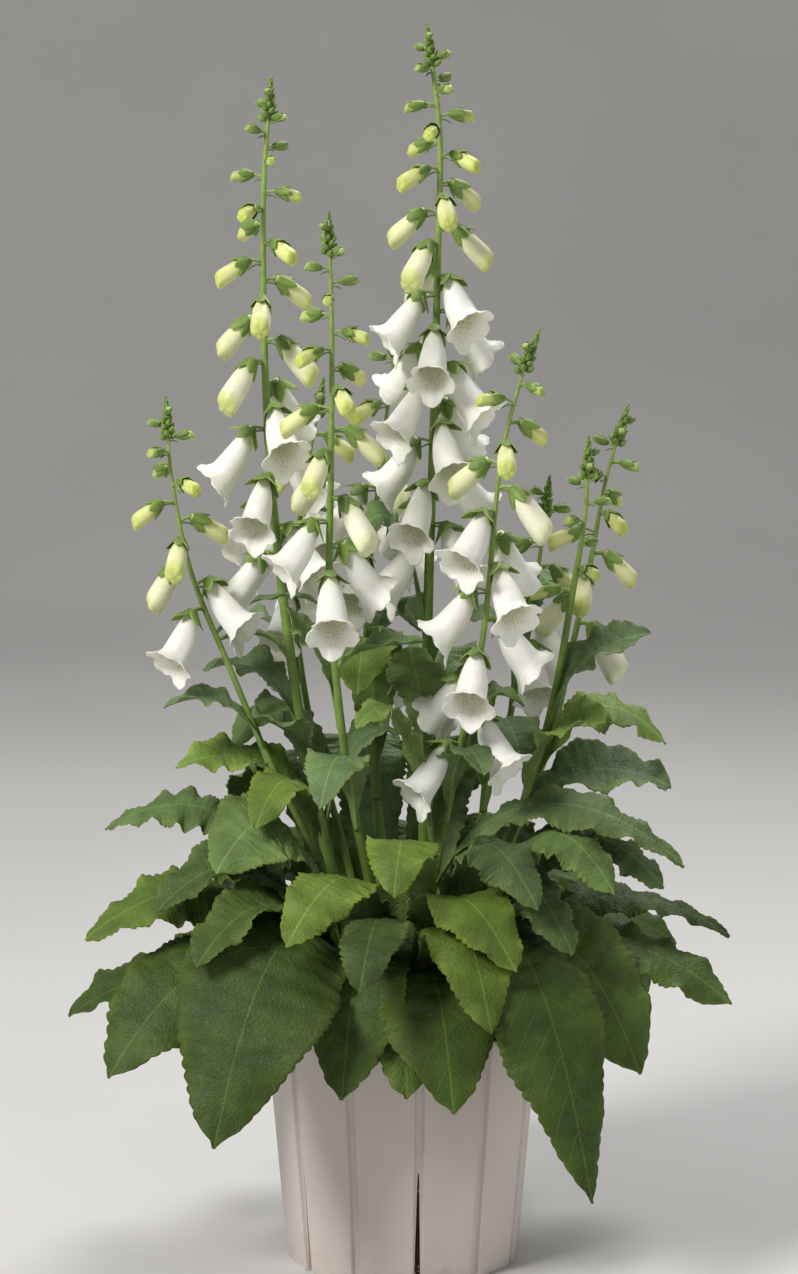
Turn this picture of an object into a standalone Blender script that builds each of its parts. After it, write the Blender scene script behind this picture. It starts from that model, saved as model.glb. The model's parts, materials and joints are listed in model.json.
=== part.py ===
"""A white foxglove in flower, growing in a slatted tub.

The tub is a twelve-sided moulded pot with a groove down each corner and a wedge-shaped slit up every
second one. It is filled with potting soil. A ring of leaf bases lies on the soil and carries the large
lower leaves. Ten flowering stems rise through the ring, each one body with its own leaves, buds and bells.

Units are metres, +Z is up, and the origin is the centre of the pot's foot. The front is -Y. A bearing is
an angle seen from above: 0 points to the front, 90 to +X and -90 to -X.
"""

import math
import random
from collections import namedtuple

import bmesh
import bpy
from mathutils import Matrix, Vector
from mathutils.bvhtree import BVHTree

# ---- Driving dimensions ----------------------------------------------------------------------------

POT_SIDES = 12
POT_HEIGHT = 0.195
POT_FOOT_RADIUS = 0.090
POT_RIM_RADIUS = 0.107
POT_WALL = 0.006
POT_TWIST = math.radians(7)

SOIL_TOP = 0.172
FIT_GAP = 0.0004
STEM_DEPTH = 0.030

CLEARANCE = 0.0022
BLADE = 0.0008
PETAL = 0.0010
UP = Vector((0, 0, 1))


# ---- Small tools -----------------------------------------------------------------------------------


def clear_scene():
    for old in list(bpy.data.objects):
        bpy.data.objects.remove(old)


def collection(name):
    made = bpy.data.collections.new(name)
    bpy.context.scene.collection.children.link(made)
    return made


def material(name, colour, roughness):
    made = bpy.data.materials.new(name)
    made.use_nodes = True
    shader = made.node_tree.nodes["Principled BSDF"]
    shader.inputs["Base Color"].default_value = (*colour, 1)
    shader.inputs["Roughness"].default_value = roughness
    shader.inputs["Metallic"].default_value = 0
    return made


def bearing(degrees):
    """The level direction of a bearing."""
    angle = math.radians(degrees)
    return Vector((math.sin(angle), -math.cos(angle), 0))


def mesh_object(name, points, faces, home):
    mesh = bpy.data.meshes.new(name)
    mesh.from_pydata(points, [], faces)
    made = bpy.data.objects.new(name, mesh)
    home.objects.link(made)
    return made


def primitive(name, home, matrix, **cone):
    """A cone or cylinder with closed ends, from its own axis along Z, moved by matrix."""
    shape = bmesh.new()
    bmesh.ops.create_cone(shape, cap_ends=True, cap_tris=False, matrix=matrix, **cone)
    mesh = bpy.data.meshes.new(name)
    shape.to_mesh(mesh)
    shape.free()
    made = bpy.data.objects.new(name, mesh)
    home.objects.link(made)
    return made


def combine(target, others, operation, solver):
    """Joins a collection to the target, or cuts it out, and removes the collection's objects."""
    modifier = target.modifiers.new(operation.title(), "BOOLEAN")
    modifier.operation = operation
    modifier.operand_type = "COLLECTION"
    modifier.collection = others
    modifier.solver = solver
    graph = bpy.context.evaluated_depsgraph_get()
    result = bpy.data.meshes.new_from_object(target.evaluated_get(graph))
    target.modifiers.clear()
    target.data = result
    for old in list(others.objects):
        bpy.data.objects.remove(old)
    bpy.data.collections.remove(others)


# ---- The pot and its soil --------------------------------------------------------------------------

GROOVE_RADIUS = 0.0038
SLIT_WIDTH = 0.0056
SLIT_HEIGHT = 0.092
DRAIN_RADIUS = 0.006
DRAIN_OFFSET = 0.045
DRAINS = 4
DRAIN_SIDES = 6
OVERSHOOT = 0.010
HOLE_SIDES = 6


def pot_radius(height):
    """The corner radius of the pot's outside at a height."""
    return POT_FOOT_RADIUS + (POT_RIM_RADIUS - POT_FOOT_RADIUS) * height / POT_HEIGHT


def inner_radius(height, gap=0.0):
    """The corner radius inside the wall, whose thickness is measured square to each face."""
    return pot_radius(height) - (POT_WALL + gap) / math.cos(math.pi / POT_SIDES)


def tapered_block(name, home, low, high, gap=0.0):
    """A solid that fills the inside of the pot between two heights."""
    return primitive(
        name,
        home,
        Matrix.Translation((0, 0, (low + high) / 2)) @ Matrix.Rotation(POT_TWIST, 4, "Z"),
        segments=POT_SIDES,
        radius1=inner_radius(low, gap),
        radius2=inner_radius(high, gap),
        depth=high - low,
    )


def corner_frame(corner):
    """A frame at the middle of a corner edge: Z runs up the edge and Y points outwards."""
    turn = Matrix.Rotation(POT_TWIST + corner * math.tau / POT_SIDES, 4, "Z")
    lean = math.atan2(POT_RIM_RADIUS - POT_FOOT_RADIUS, POT_HEIGHT)
    middle = Matrix.Translation((0, pot_radius(POT_HEIGHT / 2), POT_HEIGHT / 2))
    return turn @ middle @ Matrix.Rotation(-lean, 4, "X")


def slit_cutter(name, home, frame):
    """A tall wedge through the wall, widest at the foot."""
    foot = -POT_HEIGHT / 2 - OVERSHOOT
    outline = [(-SLIT_WIDTH / 2, foot), (SLIT_WIDTH / 2, foot), (0, SLIT_HEIGHT - POT_HEIGHT / 2)]
    depths = (-POT_WALL * 2.2, POT_WALL)
    points = [frame @ Vector((x, depth, z)) for depth in depths for x, z in outline]
    faces = [(0, 2, 1), (3, 4, 5), (0, 1, 4, 3), (1, 2, 5, 4), (2, 0, 3, 5)]
    faces = [face[::-1] for face in faces]
    return mesh_object(name, points, faces, home)


def make_pot(home):
    pot = primitive(
        "pot",
        home,
        Matrix.Translation((0, 0, POT_HEIGHT / 2)) @ Matrix.Rotation(POT_TWIST, 4, "Z"),
        segments=POT_SIDES,
        radius1=POT_FOOT_RADIUS,
        radius2=POT_RIM_RADIUS,
        depth=POT_HEIGHT,
    )
    cutters = collection("pot_cutters")
    tapered_block("hollow", cutters, POT_WALL, POT_HEIGHT + OVERSHOOT)
    for corner in range(POT_SIDES):
        frame = corner_frame(corner)
        primitive(
            f"groove_{corner}",
            cutters,
            frame,
            segments=4,
            radius1=GROOVE_RADIUS,
            radius2=GROOVE_RADIUS,
            depth=POT_HEIGHT + 2 * OVERSHOOT,
        )
        if corner % 2 == 0:
            slit_cutter(f"slit_{corner}", cutters, frame)
    for drain in range(DRAINS):
        place = bearing(45 + drain * 360 / DRAINS) * DRAIN_OFFSET
        primitive(
            f"drain_{drain}",
            cutters,
            Matrix.Translation(place),
            segments=DRAIN_SIDES,
            radius1=DRAIN_RADIUS,
            radius2=DRAIN_RADIUS,
            depth=OVERSHOOT * 2,
        )
    combine(pot, cutters, "DIFFERENCE", "EXACT")
    pot.data.materials.append(material("white_plastic", (0.80, 0.77, 0.74), 0.45))
    return pot


def make_soil(home, spikes):
    soil = tapered_block("potting_soil", home, POT_WALL + FIT_GAP, SOIL_TOP, FIT_GAP)
    holes = collection("stem_holes")
    for spike in spikes:
        hole_radius = (spike.girth * FOOT_GIRTH + FIT_GAP) / math.cos(math.pi / HOLE_SIDES)
        primitive(
            f"hole_{spike.name}",
            holes,
            Matrix.Translation((*spike.foot, SOIL_TOP)),
            segments=HOLE_SIDES,
            radius1=hole_radius,
            radius2=hole_radius,
            depth=2 * STEM_DEPTH,
        )
    combine(soil, holes, "DIFFERENCE", "EXACT")
    soil.data.materials.append(material("potting_soil", (0.05, 0.035, 0.025), 0.95))
    return soil


# ---- The flowering stems ---------------------------------------------------------------------------

# foot is where the stem leaves the soil, and bends are the points that it passes through, the last one
# its tip. girth is the stem's radius where it flowers. Flowers sit from low to the tip: open is the
# share of them that are open bells, ripest the growth of the lowest one, and turn the first bearing.
Spike = namedtuple("Spike", "name foot bends girth flowers low open ripest turn")

SPIKES = [
    Spike("left_low", (-0.034, -0.021),
          [(-0.055, -0.024, 0.290), (-0.098, -0.024, 0.383), (-0.132, -0.018, 0.463),
           (-0.158, -0.012, 0.528), (-0.172, -0.006, 0.598), (-0.176, 0.000, 0.652)],
          0.0021, 12, 0.500, 0.10, 1.0, -60),
    Spike("left_tall", (-0.030, 0.012),
          [(-0.044, 0.010, 0.252), (-0.074, 0.004, 0.395), (-0.090, 0.000, 0.510),
           (-0.101, 0.000, 0.640), (-0.103, 0.000, 0.795), (-0.097, 0.000, 0.886)],
          0.0034, 25, 0.540, 0.30, 1.0, -75),
    Spike("left_front", (-0.010, -0.034),
          [(-0.020, -0.042, 0.270), (-0.041, -0.056, 0.385), (-0.053, -0.070, 0.510),
           (-0.052, -0.080, 0.610), (-0.051, -0.084, 0.710), (-0.053, -0.086, 0.790)],
          0.0027, 19, 0.535, 0.14, 1.0, 5),
    Spike("centre_tall", (0.020, 0.002),
          [(0.016, 0.000, 0.330), (0.019, 0.000, 0.502), (0.023, 0.000, 0.640),
           (0.026, 0.000, 0.770), (0.027, 0.000, 0.850), (0.018, 0.000, 0.925)],
          0.0036, 33, 0.545, 0.44, 1.0, -80),
    Spike("right_front", (0.011, -0.038),
          [(0.018, -0.050, 0.270), (0.044, -0.058, 0.413), (0.059, -0.064, 0.490),
           (0.070, -0.070, 0.609), (0.084, -0.073, 0.672), (0.096, -0.075, 0.706)],
          0.0026, 17, 0.405, 0.52, 1.0, -70),
    Spike("right_low", (0.040, -0.008),
          [(0.062, -0.010, 0.280), (0.094, -0.008, 0.362), (0.113, -0.004, 0.430),
           (0.127, 0.000, 0.510), (0.136, 0.000, 0.570), (0.138, 0.000, 0.622)],
          0.0025, 8, 0.510, 0.0, 0.55, -100),
    Spike("right_outer", (0.036, 0.019),
          [(0.074, 0.036, 0.290), (0.112, 0.048, 0.385), (0.131, 0.052, 0.467),
           (0.144, 0.055, 0.530), (0.155, 0.058, 0.590), (0.170, 0.060, 0.642)],
          0.0023, 12, 0.480, 0.06, 0.97, 70),
    Spike("centre_back", (0.002, 0.039),
          [(-0.010, 0.055, 0.270), (-0.027, 0.076, 0.400), (-0.027, 0.086, 0.500),
           (-0.019, 0.092, 0.580), (-0.010, 0.096, 0.656), (-0.004, 0.096, 0.706)],
          0.0025, 11, 0.470, 0.45, 1.0, 60),
    Spike("right_back", (0.022, 0.034),
          [(0.050, 0.062, 0.290), (0.080, 0.080, 0.390), (0.098, 0.088, 0.470),
           (0.106, 0.092, 0.525), (0.113, 0.092, 0.584)],
          0.0023, 8, 0.460, 0.20, 1.0, 30),
    Spike("left_back", (-0.020, 0.035),
          [(-0.045, 0.060, 0.300), (-0.072, 0.074, 0.400), (-0.084, 0.084, 0.500),
           (-0.076, 0.090, 0.580), (-0.062, 0.092, 0.660)],
          0.0024, 9, 0.500, 0.50, 1.0, -20),
]

FOOT_GIRTH = 1.35
TIP_GIRTH = 0.45
KNOT_RISE = 0.020
PATH_STEPS = 8
RING_STEP = 7
STEM_SIDES = 5


def stem_path(spike):
    """Evenly spread points up the stem, on a smooth curve through its foot and bends."""
    foot = Vector((*spike.foot, SOIL_TOP - STEM_DEPTH + FIT_GAP))
    knots = [foot, Vector((*spike.foot, SOIL_TOP + KNOT_RISE))] + [Vector(bend) for bend in spike.bends]
    ends = [2 * knots[0] - knots[1]] + knots + [2 * knots[-1] - knots[-2]]
    path = [foot]
    for a, b, c, d in zip(ends, ends[1:], ends[2:], ends[3:]):
        for step in range(1, PATH_STEPS + 1):
            t = step / PATH_STEPS
            path.append(
                0.5 * (2 * b + (c - a) * t + (2 * a - 5 * b + 4 * c - d) * t * t
                       + (3 * b - 3 * c + d - a) * t * t * t)
            )
    return path


def stem_paths():
    return {spike.name: stem_path(spike) for spike in SPIKES}


def at_height(path, height):
    """The point of a stem at a height, and the stem's direction there."""
    for low, high in zip(path, path[1:]):
        if low.z <= height <= high.z:
            share = (height - low.z) / max(high.z - low.z, 1e-9)
            return low.lerp(high, share), (high - low).normalized()
    return path[-1], (path[-1] - path[-2]).normalized()


def stem_girth(spike, height):
    """The stem's radius: stout at the soil, even where it flowers, and fine at the tip."""
    tip = spike.bends[-1][2]
    if height < spike.low:
        share = (height - SOIL_TOP) / (spike.low - SOIL_TOP)
        return spike.girth * (FOOT_GIRTH + (1 - FOOT_GIRTH) * min(max(share, 0), 1))
    share = (height - spike.low) / (tip - spike.low)
    return spike.girth * (1 + (TIP_GIRTH - 1) * min(share, 1))


def tube(points, radii, sides):
    """A closed tube along points, as (points, faces)."""
    around = [math.tau * k / sides for k in range(sides)]
    made, faces = [], []
    for k, (point, radius) in enumerate(zip(points, radii)):
        along = (points[min(k + 1, len(points) - 1)] - points[max(k - 1, 0)]).normalized()
        side = along.cross(Vector((0, 1, 0.2))).normalized()
        front = side.cross(along)
        made += [point + (side * math.cos(a) + front * math.sin(a)) * radius for a in around]
    for ring in range(len(points) - 1):
        for k in range(sides):
            a, b = ring * sides + k, ring * sides + (k + 1) % sides
            faces.append((a, a + sides, b + sides, b))
    faces.append(tuple(range(sides)))
    faces.append(tuple(range(len(made) - 1, len(made) - sides - 1, -1)))
    return made, faces


def stem_shape(spike, path):
    """The bare stem in a few rings: at its foot, at its upright start, then evenly, and at its tip."""
    last = len(path) - 1
    rings = [0, PATH_STEPS] + list(range(2 * RING_STEP, last, RING_STEP)) + [last]
    chosen = [path[ring] for ring in rings]
    return tube(chosen, [stem_girth(spike, point.z) for point in chosen], STEM_SIDES)


# ---- Buds and bells --------------------------------------------------------------------------------

# One flower: where its stalk leaves the stem, the way it points, and its growth from 0, a bud just
# formed, to 1, an open bell.
Flower = namedtuple("Flower", "root axis growth stalk")

GOLDEN_TURN = 137.5
CROWDING = 0.42
FACING = 0.86
OPEN_GROWTH = 0.985
GREEN_BUD = 0.42
LARGE_BUD = 0.75
# (growth, corolla length, corolla radius, sepal length, stalk length, angle below level)
GROWTH_STAGES = [
    (0.00, 0.0045, 0.0016, 0.0040, 0.0020, -50),
    (0.20, 0.0095, 0.0027, 0.0070, 0.0040, -22),
    (0.42, 0.0165, 0.0041, 0.0105, 0.0065, 4),
    (0.60, 0.0250, 0.0058, 0.0135, 0.0080, 22),
    (0.80, 0.0370, 0.0080, 0.0150, 0.0088, 40),
    (0.95, 0.0470, 0.0100, 0.0155, 0.0090, 50),
    (1.00, 0.0500, 0.0130, 0.0150, 0.0090, 54),
]


def stage(growth):
    """Corolla length and radius, sepal length, stalk length and droop at a growth."""
    for low, high in zip(GROWTH_STAGES, GROWTH_STAGES[1:]):
        if growth <= high[0]:
            share = (growth - low[0]) / (high[0] - low[0])
            return [a + (b - a) * share for a, b in zip(low[1:], high[1:])]
    return list(GROWTH_STAGES[-1][1:])


def flower_plan(spike):
    """Every flower of a spike, lowest first: a spiral that leans towards the front."""
    tip = spike.bends[-1][2]
    plan = []
    for number in range(spike.flowers):
        share = number / spike.flowers
        height = spike.low + (tip - spike.low) * (share * (1 + CROWDING) - CROWDING * share * share)
        closing = (share - spike.open) / (1 - spike.open)
        growth = spike.ripest * (1 if closing <= 0 else (1 - closing) ** 0.85 * 0.95)
        around = (spike.turn + number * GOLDEN_TURN + 180) % 360 - 180
        plan.append((height, around * FACING, max(growth, 0.05)))
    return plan


def flower_at(spike, path, height, around, growth, droop_more=0.0):
    """The flower at a height and bearing of a stem."""
    length, radius, sepal, stalk, droop = stage(growth)
    root, along = at_height(path, height)
    out = bearing(around)
    out = (out - along * out.dot(along)).normalized()
    down = math.radians(droop + droop_more)
    axis = out * math.cos(down) - UP * math.sin(down)
    lift = (out + UP * 0.25).normalized()
    girth = stem_girth(spike, height)
    base = root + lift * (girth + stalk)
    return Flower(root - lift * (girth * 0.5), axis.normalized(), growth, base)


def flower_frame(flower):
    """Axis, and the two directions across it: the second one points down."""
    side = flower.axis.cross(UP).normalized()
    return flower.axis, side, flower.axis.cross(side).normalized()


BELL_LOBES = 5
LIP_REACH = 0.10
NOTCH = (0.93, 1.06)
LOBE = (1.05, 1.43)


def ring_of(flower, share, radius, count, twist=0.0, lip=0.0):
    """A ring of points round the flower's axis, the first one on its lower side."""
    axis, side, down = flower_frame(flower)
    length = stage(flower.growth)[0]
    points = []
    for k in range(count):
        angle = math.tau * k / count + twist
        out = down * math.cos(angle) + side * math.sin(angle)
        reach = length * (share + lip * math.cos(angle))
        points.append(flower.stalk + axis * reach + out * radius)
    return points


def bell_mouth(flower, inset):
    """The lobed mouth of an open bell: five lobes that flare out, and a notch after each one."""
    radius = stage(flower.growth)[1]
    lobes = ring_of(flower, LOBE[0], radius * LOBE[1] - inset, BELL_LOBES, 0.0, LIP_REACH)
    notches = ring_of(flower, NOTCH[0], radius * NOTCH[1] - inset, BELL_LOBES, math.pi / BELL_LOBES,
                      LIP_REACH)
    return [point for pair in zip(lobes, notches) for point in pair]


def flower_shape(flower):
    """A flower as one closed shape: its stalk, the collar of sepals, and the bud or bell."""
    length, radius, sepal, _, _ = stage(flower.growth)
    if flower.growth <= GREEN_BUD:
        return bridged([[flower.root], ring_of(flower, 0.45, radius * 1.3, 4), ring_of(flower, 1, 0, 1)])
    sides = BELL_LOBES if flower.growth > LARGE_BUD else 4
    collar = sepal * 0.75 / length
    rings = [[flower.root], ring_of(flower, 0.0, 0.0016, sides),
             ring_of(flower, collar, radius * 0.60 + 0.0022, sides)]
    if flower.growth < OPEN_GROWTH:
        return bridged(rings + [ring_of(flower, 0.80, radius * 0.88, sides), ring_of(flower, 1, 0, 1)])
    rings += [bell_mouth(flower, 0), bell_mouth(flower, PETAL)]
    return bridged(rings + [ring_of(flower, 0.22, 0, 1)])


def bridged(rings):
    """Rings of points, each joined to the next. The first and last are single points."""
    points, faces = [], []
    for ring, after in zip(rings, rings[1:] + [[]]):
        start = len(points)
        points += ring
        if after:
            faces += joined_rings(start, len(ring), start + len(ring), len(after))
    return points, faces


def joined_rings(a, count_a, b, count_b):
    """The triangles between two rings whose counts are alike, or the second is double, or one is 1."""
    if count_b == 1:
        return [(a + k, b, a + (k + 1) % count_a) for k in range(count_a)]
    if count_a == 1:
        return [(a, b + k, b + (k + 1) % count_b) for k in range(count_b)]
    faces = []
    for k in range(count_a):
        n = (k + 1) % count_a
        if count_a == count_b:
            faces += [(a + k, b + k, b + n), (a + k, b + n, a + n)]
        else:
            before, here, notch = b + (2 * k - 1) % count_b, b + 2 * k, b + 2 * k + 1
            faces += [(a + k, before, here), (a + k, here, notch), (a + k, notch, a + n)]
    return faces


TIP_BUDS = 5


def tip_buds(spike, path):
    """The crowd of tiny upright buds round the tip of a stem."""
    shapes = []
    tip = spike.bends[-1][2]
    for number in range(TIP_BUDS):
        share = number / (TIP_BUDS - 1)
        root, along = at_height(path, tip - 0.018 * (1 - share) - 0.001)
        out = bearing(spike.turn + number * GOLDEN_TURN)
        axis = (out * (0.9 - 0.75 * share) + along * (0.75 + 0.5 * share)).normalized()
        shapes.append(flower_shape(Flower(root, axis, 0.12, root + axis * 0.003)))
    return shapes


# ---- Leaves ----------------------------------------------------------------------------------------

# A leaf's midrib is an arch from its root out along a bearing. apex and tip are heights above the
# root. cup lifts the edges, or lowers them if it is below 0. sway bends the leaf sideways, and roll
# turns its upper face towards the front, in degrees.
Leaf = namedtuple("Leaf", "root bearing reach apex tip width cup sway roll seed")

# How far out, as shares of the reach, the arch ends its rise and starts its fall.
RISE_SHARE = 0.22
FALL_SHARE = 0.64


def leaf_midrib(leaf, t):
    """The midrib's point at a share of its length, on a cubic curve."""
    rise = (leaf.apex - leaf.tip / 8) / 0.75
    out = bearing(leaf.bearing)
    across = Vector((-out.y, out.x, 0))
    ends = (0.0, RISE_SHARE * leaf.reach, FALL_SHARE * leaf.reach, leaf.reach)
    heights = (0.0, rise, rise, leaf.tip)
    shares = ((1 - t) ** 3, 3 * t * (1 - t) ** 2, 3 * t * t * (1 - t), t ** 3)
    level = sum(a * b for a, b in zip(ends, shares))
    height = sum(a * b for a, b in zip(heights, shares))
    return leaf.root + out * level + UP * height + across * (leaf.sway * t * t)


PETIOLE_WIDTH = 0.115
BLADE_START = 0.08
BROAD = 0.050
BLUNT_TIP = 0.58
SHARP_TIP = 0.75
WIDEST_AT = 1.2


def leaf_half_width(leaf, t):
    """Half the blade's width: a winged stalk, the widest part past the middle, and a pointed end."""
    swell = min(max((t - BLADE_START) / (1 - BLADE_START), 0.0), 1.0)
    tip = BLUNT_TIP if leaf.width > BROAD else SHARP_TIP
    blade = max(math.sin(math.pi * swell ** WIDEST_AT), 0.0) ** tip
    return leaf.width / 2 * max(PETIOLE_WIDTH * (1 - t) ** 0.5 + 0.92 * blade, 0.05)


def leaf_frame(leaf, t):
    """The midrib's point, and the blade's directions across it and out of its upper face."""
    step = 0.01
    before, after = leaf_midrib(leaf, max(t - step, 0)), leaf_midrib(leaf, min(t + step, 1))
    along = (after - before).normalized()
    out = bearing(leaf.bearing)
    level = Vector((-out.y, out.x, 0))
    across = (level - along * level.dot(along)).normalized()
    face = along.cross(across)
    turn = math.radians(leaf.roll) * min(1, 2.5 * t) * (1 if across.y <= 0 else -1)
    rolled = face * math.cos(turn) + across * math.sin(turn)
    return leaf_midrib(leaf, t), across * math.cos(turn) - face * math.sin(turn), rolled


def leaf_point(leaf, t, u):
    """A point of the blade: t along the midrib, and u across it from -1 to 1."""
    middle, across, face = leaf_frame(leaf, t)
    half = leaf_half_width(leaf, t)
    fold = leaf.cup * abs(u) ** 1.4
    wave = 0.16 * u * u * math.sin(math.tau * 2.4 * t + leaf.seed + 1.9 * math.copysign(1, u))
    wave *= min(1, 3 * t)
    return middle + across * (u * half * math.cos(min(abs(fold), 1.2))) + face * (half * (fold + wave))


TOOTH = 0.09


def leaf_mesh(leaf, steps, thickness, start=0.0):
    """A toothed blade of even thickness, its two faces split into triangles alike."""
    columns = (-1, 0, 1) if leaf.width > NARROW else (-1, 1)
    top, bottom = [], []
    for step in range(steps + 1):
        t = start + (1 - start) * step / steps
        face = leaf_frame(leaf, t)[2]
        tooth = TOOTH * (1 if step % 2 else -1) if 1 < step < steps else 0
        for u in columns:
            point = leaf_point(leaf, t, u * (1 + tooth))
            top.append(point + face * (thickness / 2))
            bottom.append(point - face * (thickness / 2))
    return top + bottom, slab_faces(steps + 1, len(columns))


def slab_faces(rows, columns):
    """The triangles of a closed slab: a grid of points, and a second one under it."""
    under = rows * columns
    faces = []
    for row in range(rows - 1):
        for column in range(columns - 1):
            a = row * columns + column
            for one, two, three in ((a, a + columns + 1, a + 1), (a, a + columns, a + columns + 1)):
                faces += [(one, two, three), (under + three, under + two, under + one)]
    edge = [row * columns for row in range(rows)]
    edge += [(rows - 1) * columns + column for column in range(1, columns)]
    edge += [row * columns + columns - 1 for row in range(rows - 2, -1, -1)]
    edge += list(range(columns - 2, 0, -1))
    for a, b in zip(edge, edge[1:] + edge[:1]):
        faces += [(a, under + b, b), (a, under + a, under + b)]
    return faces


NARROW = 0.034


def leaf_steps(leaf):
    """More steps along a longer leaf, so that its teeth stay alike."""
    return 4 + min(2, int((leaf.reach + abs(leaf.tip)) / 0.075))


# (bearing, reach, apex, tip, width, cup, sway, roll) of each large lower leaf, from its root on the ring.
LOWER_LEAVES = [
    (-36, 0.176, 0.098, -0.040, 0.106, -0.12, 0.004, 26),
    (38, 0.162, 0.090, -0.086, 0.078, -0.18, 0.000, 10),
    (11, 0.112, 0.066, -0.022, 0.080, -0.10, 0.004, 0),
    (-11, 0.100, 0.068, -0.026, 0.072, -0.10, 0.002, 0),
    (1, 0.090, 0.050, -0.016, 0.064, -0.10, 0.000, 0),
    (-62, 0.186, 0.070, -0.010, 0.074, -0.10, 0.000, 36),
    (61, 0.142, 0.084, -0.012, 0.088, -0.20, 0.000, 30),
    (77, 0.192, 0.070, 0.026, 0.062, -0.20, -0.008, 28),
    (-75, 0.188, 0.112, 0.084, 0.060, -0.20, 0.008, 24),
    (-52, 0.112, 0.168, 0.140, 0.076, -0.28, -0.004, 26),
    (26, 0.116, 0.104, 0.036, 0.064, -0.18, 0.004, 4),
    (-7, 0.132, 0.100, 0.062, 0.052, -0.15, -0.008, 0),
    (13, 0.104, 0.122, 0.078, 0.062, -0.12, 0.046, 0),
    (-20, 0.112, 0.136, 0.098, 0.058, -0.20, -0.044, 10),
    (40, 0.110, 0.128, 0.082, 0.060, -0.35, 0.004, 14),
    (78, 0.142, 0.148, 0.116, 0.054, -0.30, 0.000, 24),
    (56, 0.126, 0.140, 0.104, 0.054, -0.30, 0.004, 20),
    (2, 0.088, 0.160, 0.132, 0.054, -0.20, -0.012, 0),
    (27, 0.098, 0.156, 0.118, 0.054, -0.30, 0.030, 8),
    (-64, 0.140, 0.132, 0.108, 0.056, 0.20, -0.006, 18),
    (-52, 0.152, 0.104, 0.072, 0.056, 0.22, 0.004, 10),
    (-44, 0.132, 0.078, 0.046, 0.050, 0.20, -0.004, 10),
    (-86, 0.196, 0.050, 0.014, 0.052, 0.15, 0.010, 20),
    (24, 0.126, 0.066, -0.004, 0.056, -0.12, 0.000, 0),
    (90, 0.192, 0.098, 0.068, 0.036, -0.20, 0.006, 20),
    (101, 0.166, 0.078, 0.048, 0.058, -0.10, 0.000, 26),
    (-92, 0.170, 0.160, 0.150, 0.052, -0.16, -0.006, 16),
    (-103, 0.142, 0.116, 0.090, 0.052, -0.10, -0.004, 10),
]

# (stem, height, bearing, reach, apex, tip, width, cup, sway, roll) of each leaf that grows on a stem.
STEM_LEAVES = [
    ("left_tall", 0.462, -92, 0.056, 0.028, 0.022, 0.018, 0.10, 0.000, 0),
    ("left_tall", 0.400, -118, 0.092, 0.050, 0.044, 0.040, 0.25, -0.006, 10),
    ("left_tall", 0.345, -50, 0.066, 0.062, 0.080, 0.048, 0.25, 0.000, 10),
    ("left_tall", 0.300, -78, 0.118, 0.082, 0.080, 0.048, 0.12, 0.004, 20),
    ("left_tall", 0.330, 120, 0.090, 0.070, 0.050, 0.044, 0.10, 0.000, 0),
    ("left_low", 0.385, -90, 0.080, 0.048, 0.044, 0.030, 0.20, 0.004, 10),
    ("left_low", 0.310, -30, 0.090, 0.070, 0.040, 0.046, -0.10, 0.000, 10),
    ("left_front", 0.505, -88, 0.060, 0.014, 0.008, 0.016, 0.10, 0.002, 0),
    ("left_front", 0.465, 78, 0.066, 0.036, 0.040, 0.030, 0.30, 0.004, 10),
    ("left_front", 0.418, -112, 0.044, 0.060, 0.088, 0.038, 0.12, 0.000, 0),
    ("left_front", 0.340, -20, 0.078, 0.062, 0.030, 0.046, -0.12, 0.000, 0),
    ("centre_tall", 0.478, -82, 0.066, 0.046, 0.010, 0.038, -0.12, 0.004, 20),
    ("centre_tall", 0.450, 60, 0.075, 0.048, 0.030, 0.036, 0.10, 0.000, 0),
    ("centre_tall", 0.380, -22, 0.040, 0.066, 0.096, 0.046, 0.10, 0.000, 0),
    ("centre_tall", 0.370, 165, 0.100, 0.090, 0.050, 0.050, 0.05, 0.000, 0),
    ("centre_tall", 0.330, 30, 0.050, 0.080, 0.110, 0.046, 0.20, 0.000, 0),
    ("right_front", 0.310, -48, 0.086, 0.090, 0.086, 0.034, -0.10, 0.008, 10),
    ("right_front", 0.300, 84, 0.186, 0.062, 0.016, 0.044, -0.15, 0.004, 26),
    ("right_front", 0.345, 30, 0.056, 0.060, 0.046, 0.040, 0.15, 0.000, 0),
    ("right_front", 0.395, 100, 0.050, 0.046, 0.038, 0.034, 0.20, 0.000, 10),
    ("right_low", 0.405, 82, 0.078, 0.062, 0.078, 0.046, 0.22, 0.004, 26),
    ("right_low", 0.350, 58, 0.070, 0.062, 0.070, 0.056, 0.25, 0.000, 20),
    ("right_low", 0.320, 92, 0.126, 0.056, 0.044, 0.056, 0.18, 0.002, 26),
    ("right_outer", 0.350, 96, 0.105, 0.066, 0.036, 0.046, -0.16, 0.000, 26),
    ("right_outer", 0.400, 160, 0.080, 0.060, 0.040, 0.042, 0.10, 0.000, 0),
    ("centre_back", 0.430, 150, 0.085, 0.060, 0.030, 0.040, 0.10, 0.000, 0),
    ("centre_back", 0.340, -16, 0.082, 0.085, 0.050, 0.056, 0.00, 0.000, 0),
    ("right_back", 0.400, 100, 0.070, 0.060, 0.030, 0.040, 0.10, 0.000, 10),
    ("right_back", 0.330, 24, 0.090, 0.080, 0.050, 0.056, -0.10, 0.000, 0),
    ("left_back", 0.430, -110, 0.075, 0.050, 0.034, 0.038, 0.10, 0.000, 0),
    ("left_back", 0.340, -26, 0.086, 0.080, 0.050, 0.056, -0.10, 0.000, 0),
]

RING_RADIUS = 0.058
RING_TUBE = 0.010
RING_SEGMENTS = 12
BACK_LEAVES = 11
BACK_SPAN = (108, 262)
SEED = 11


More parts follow.
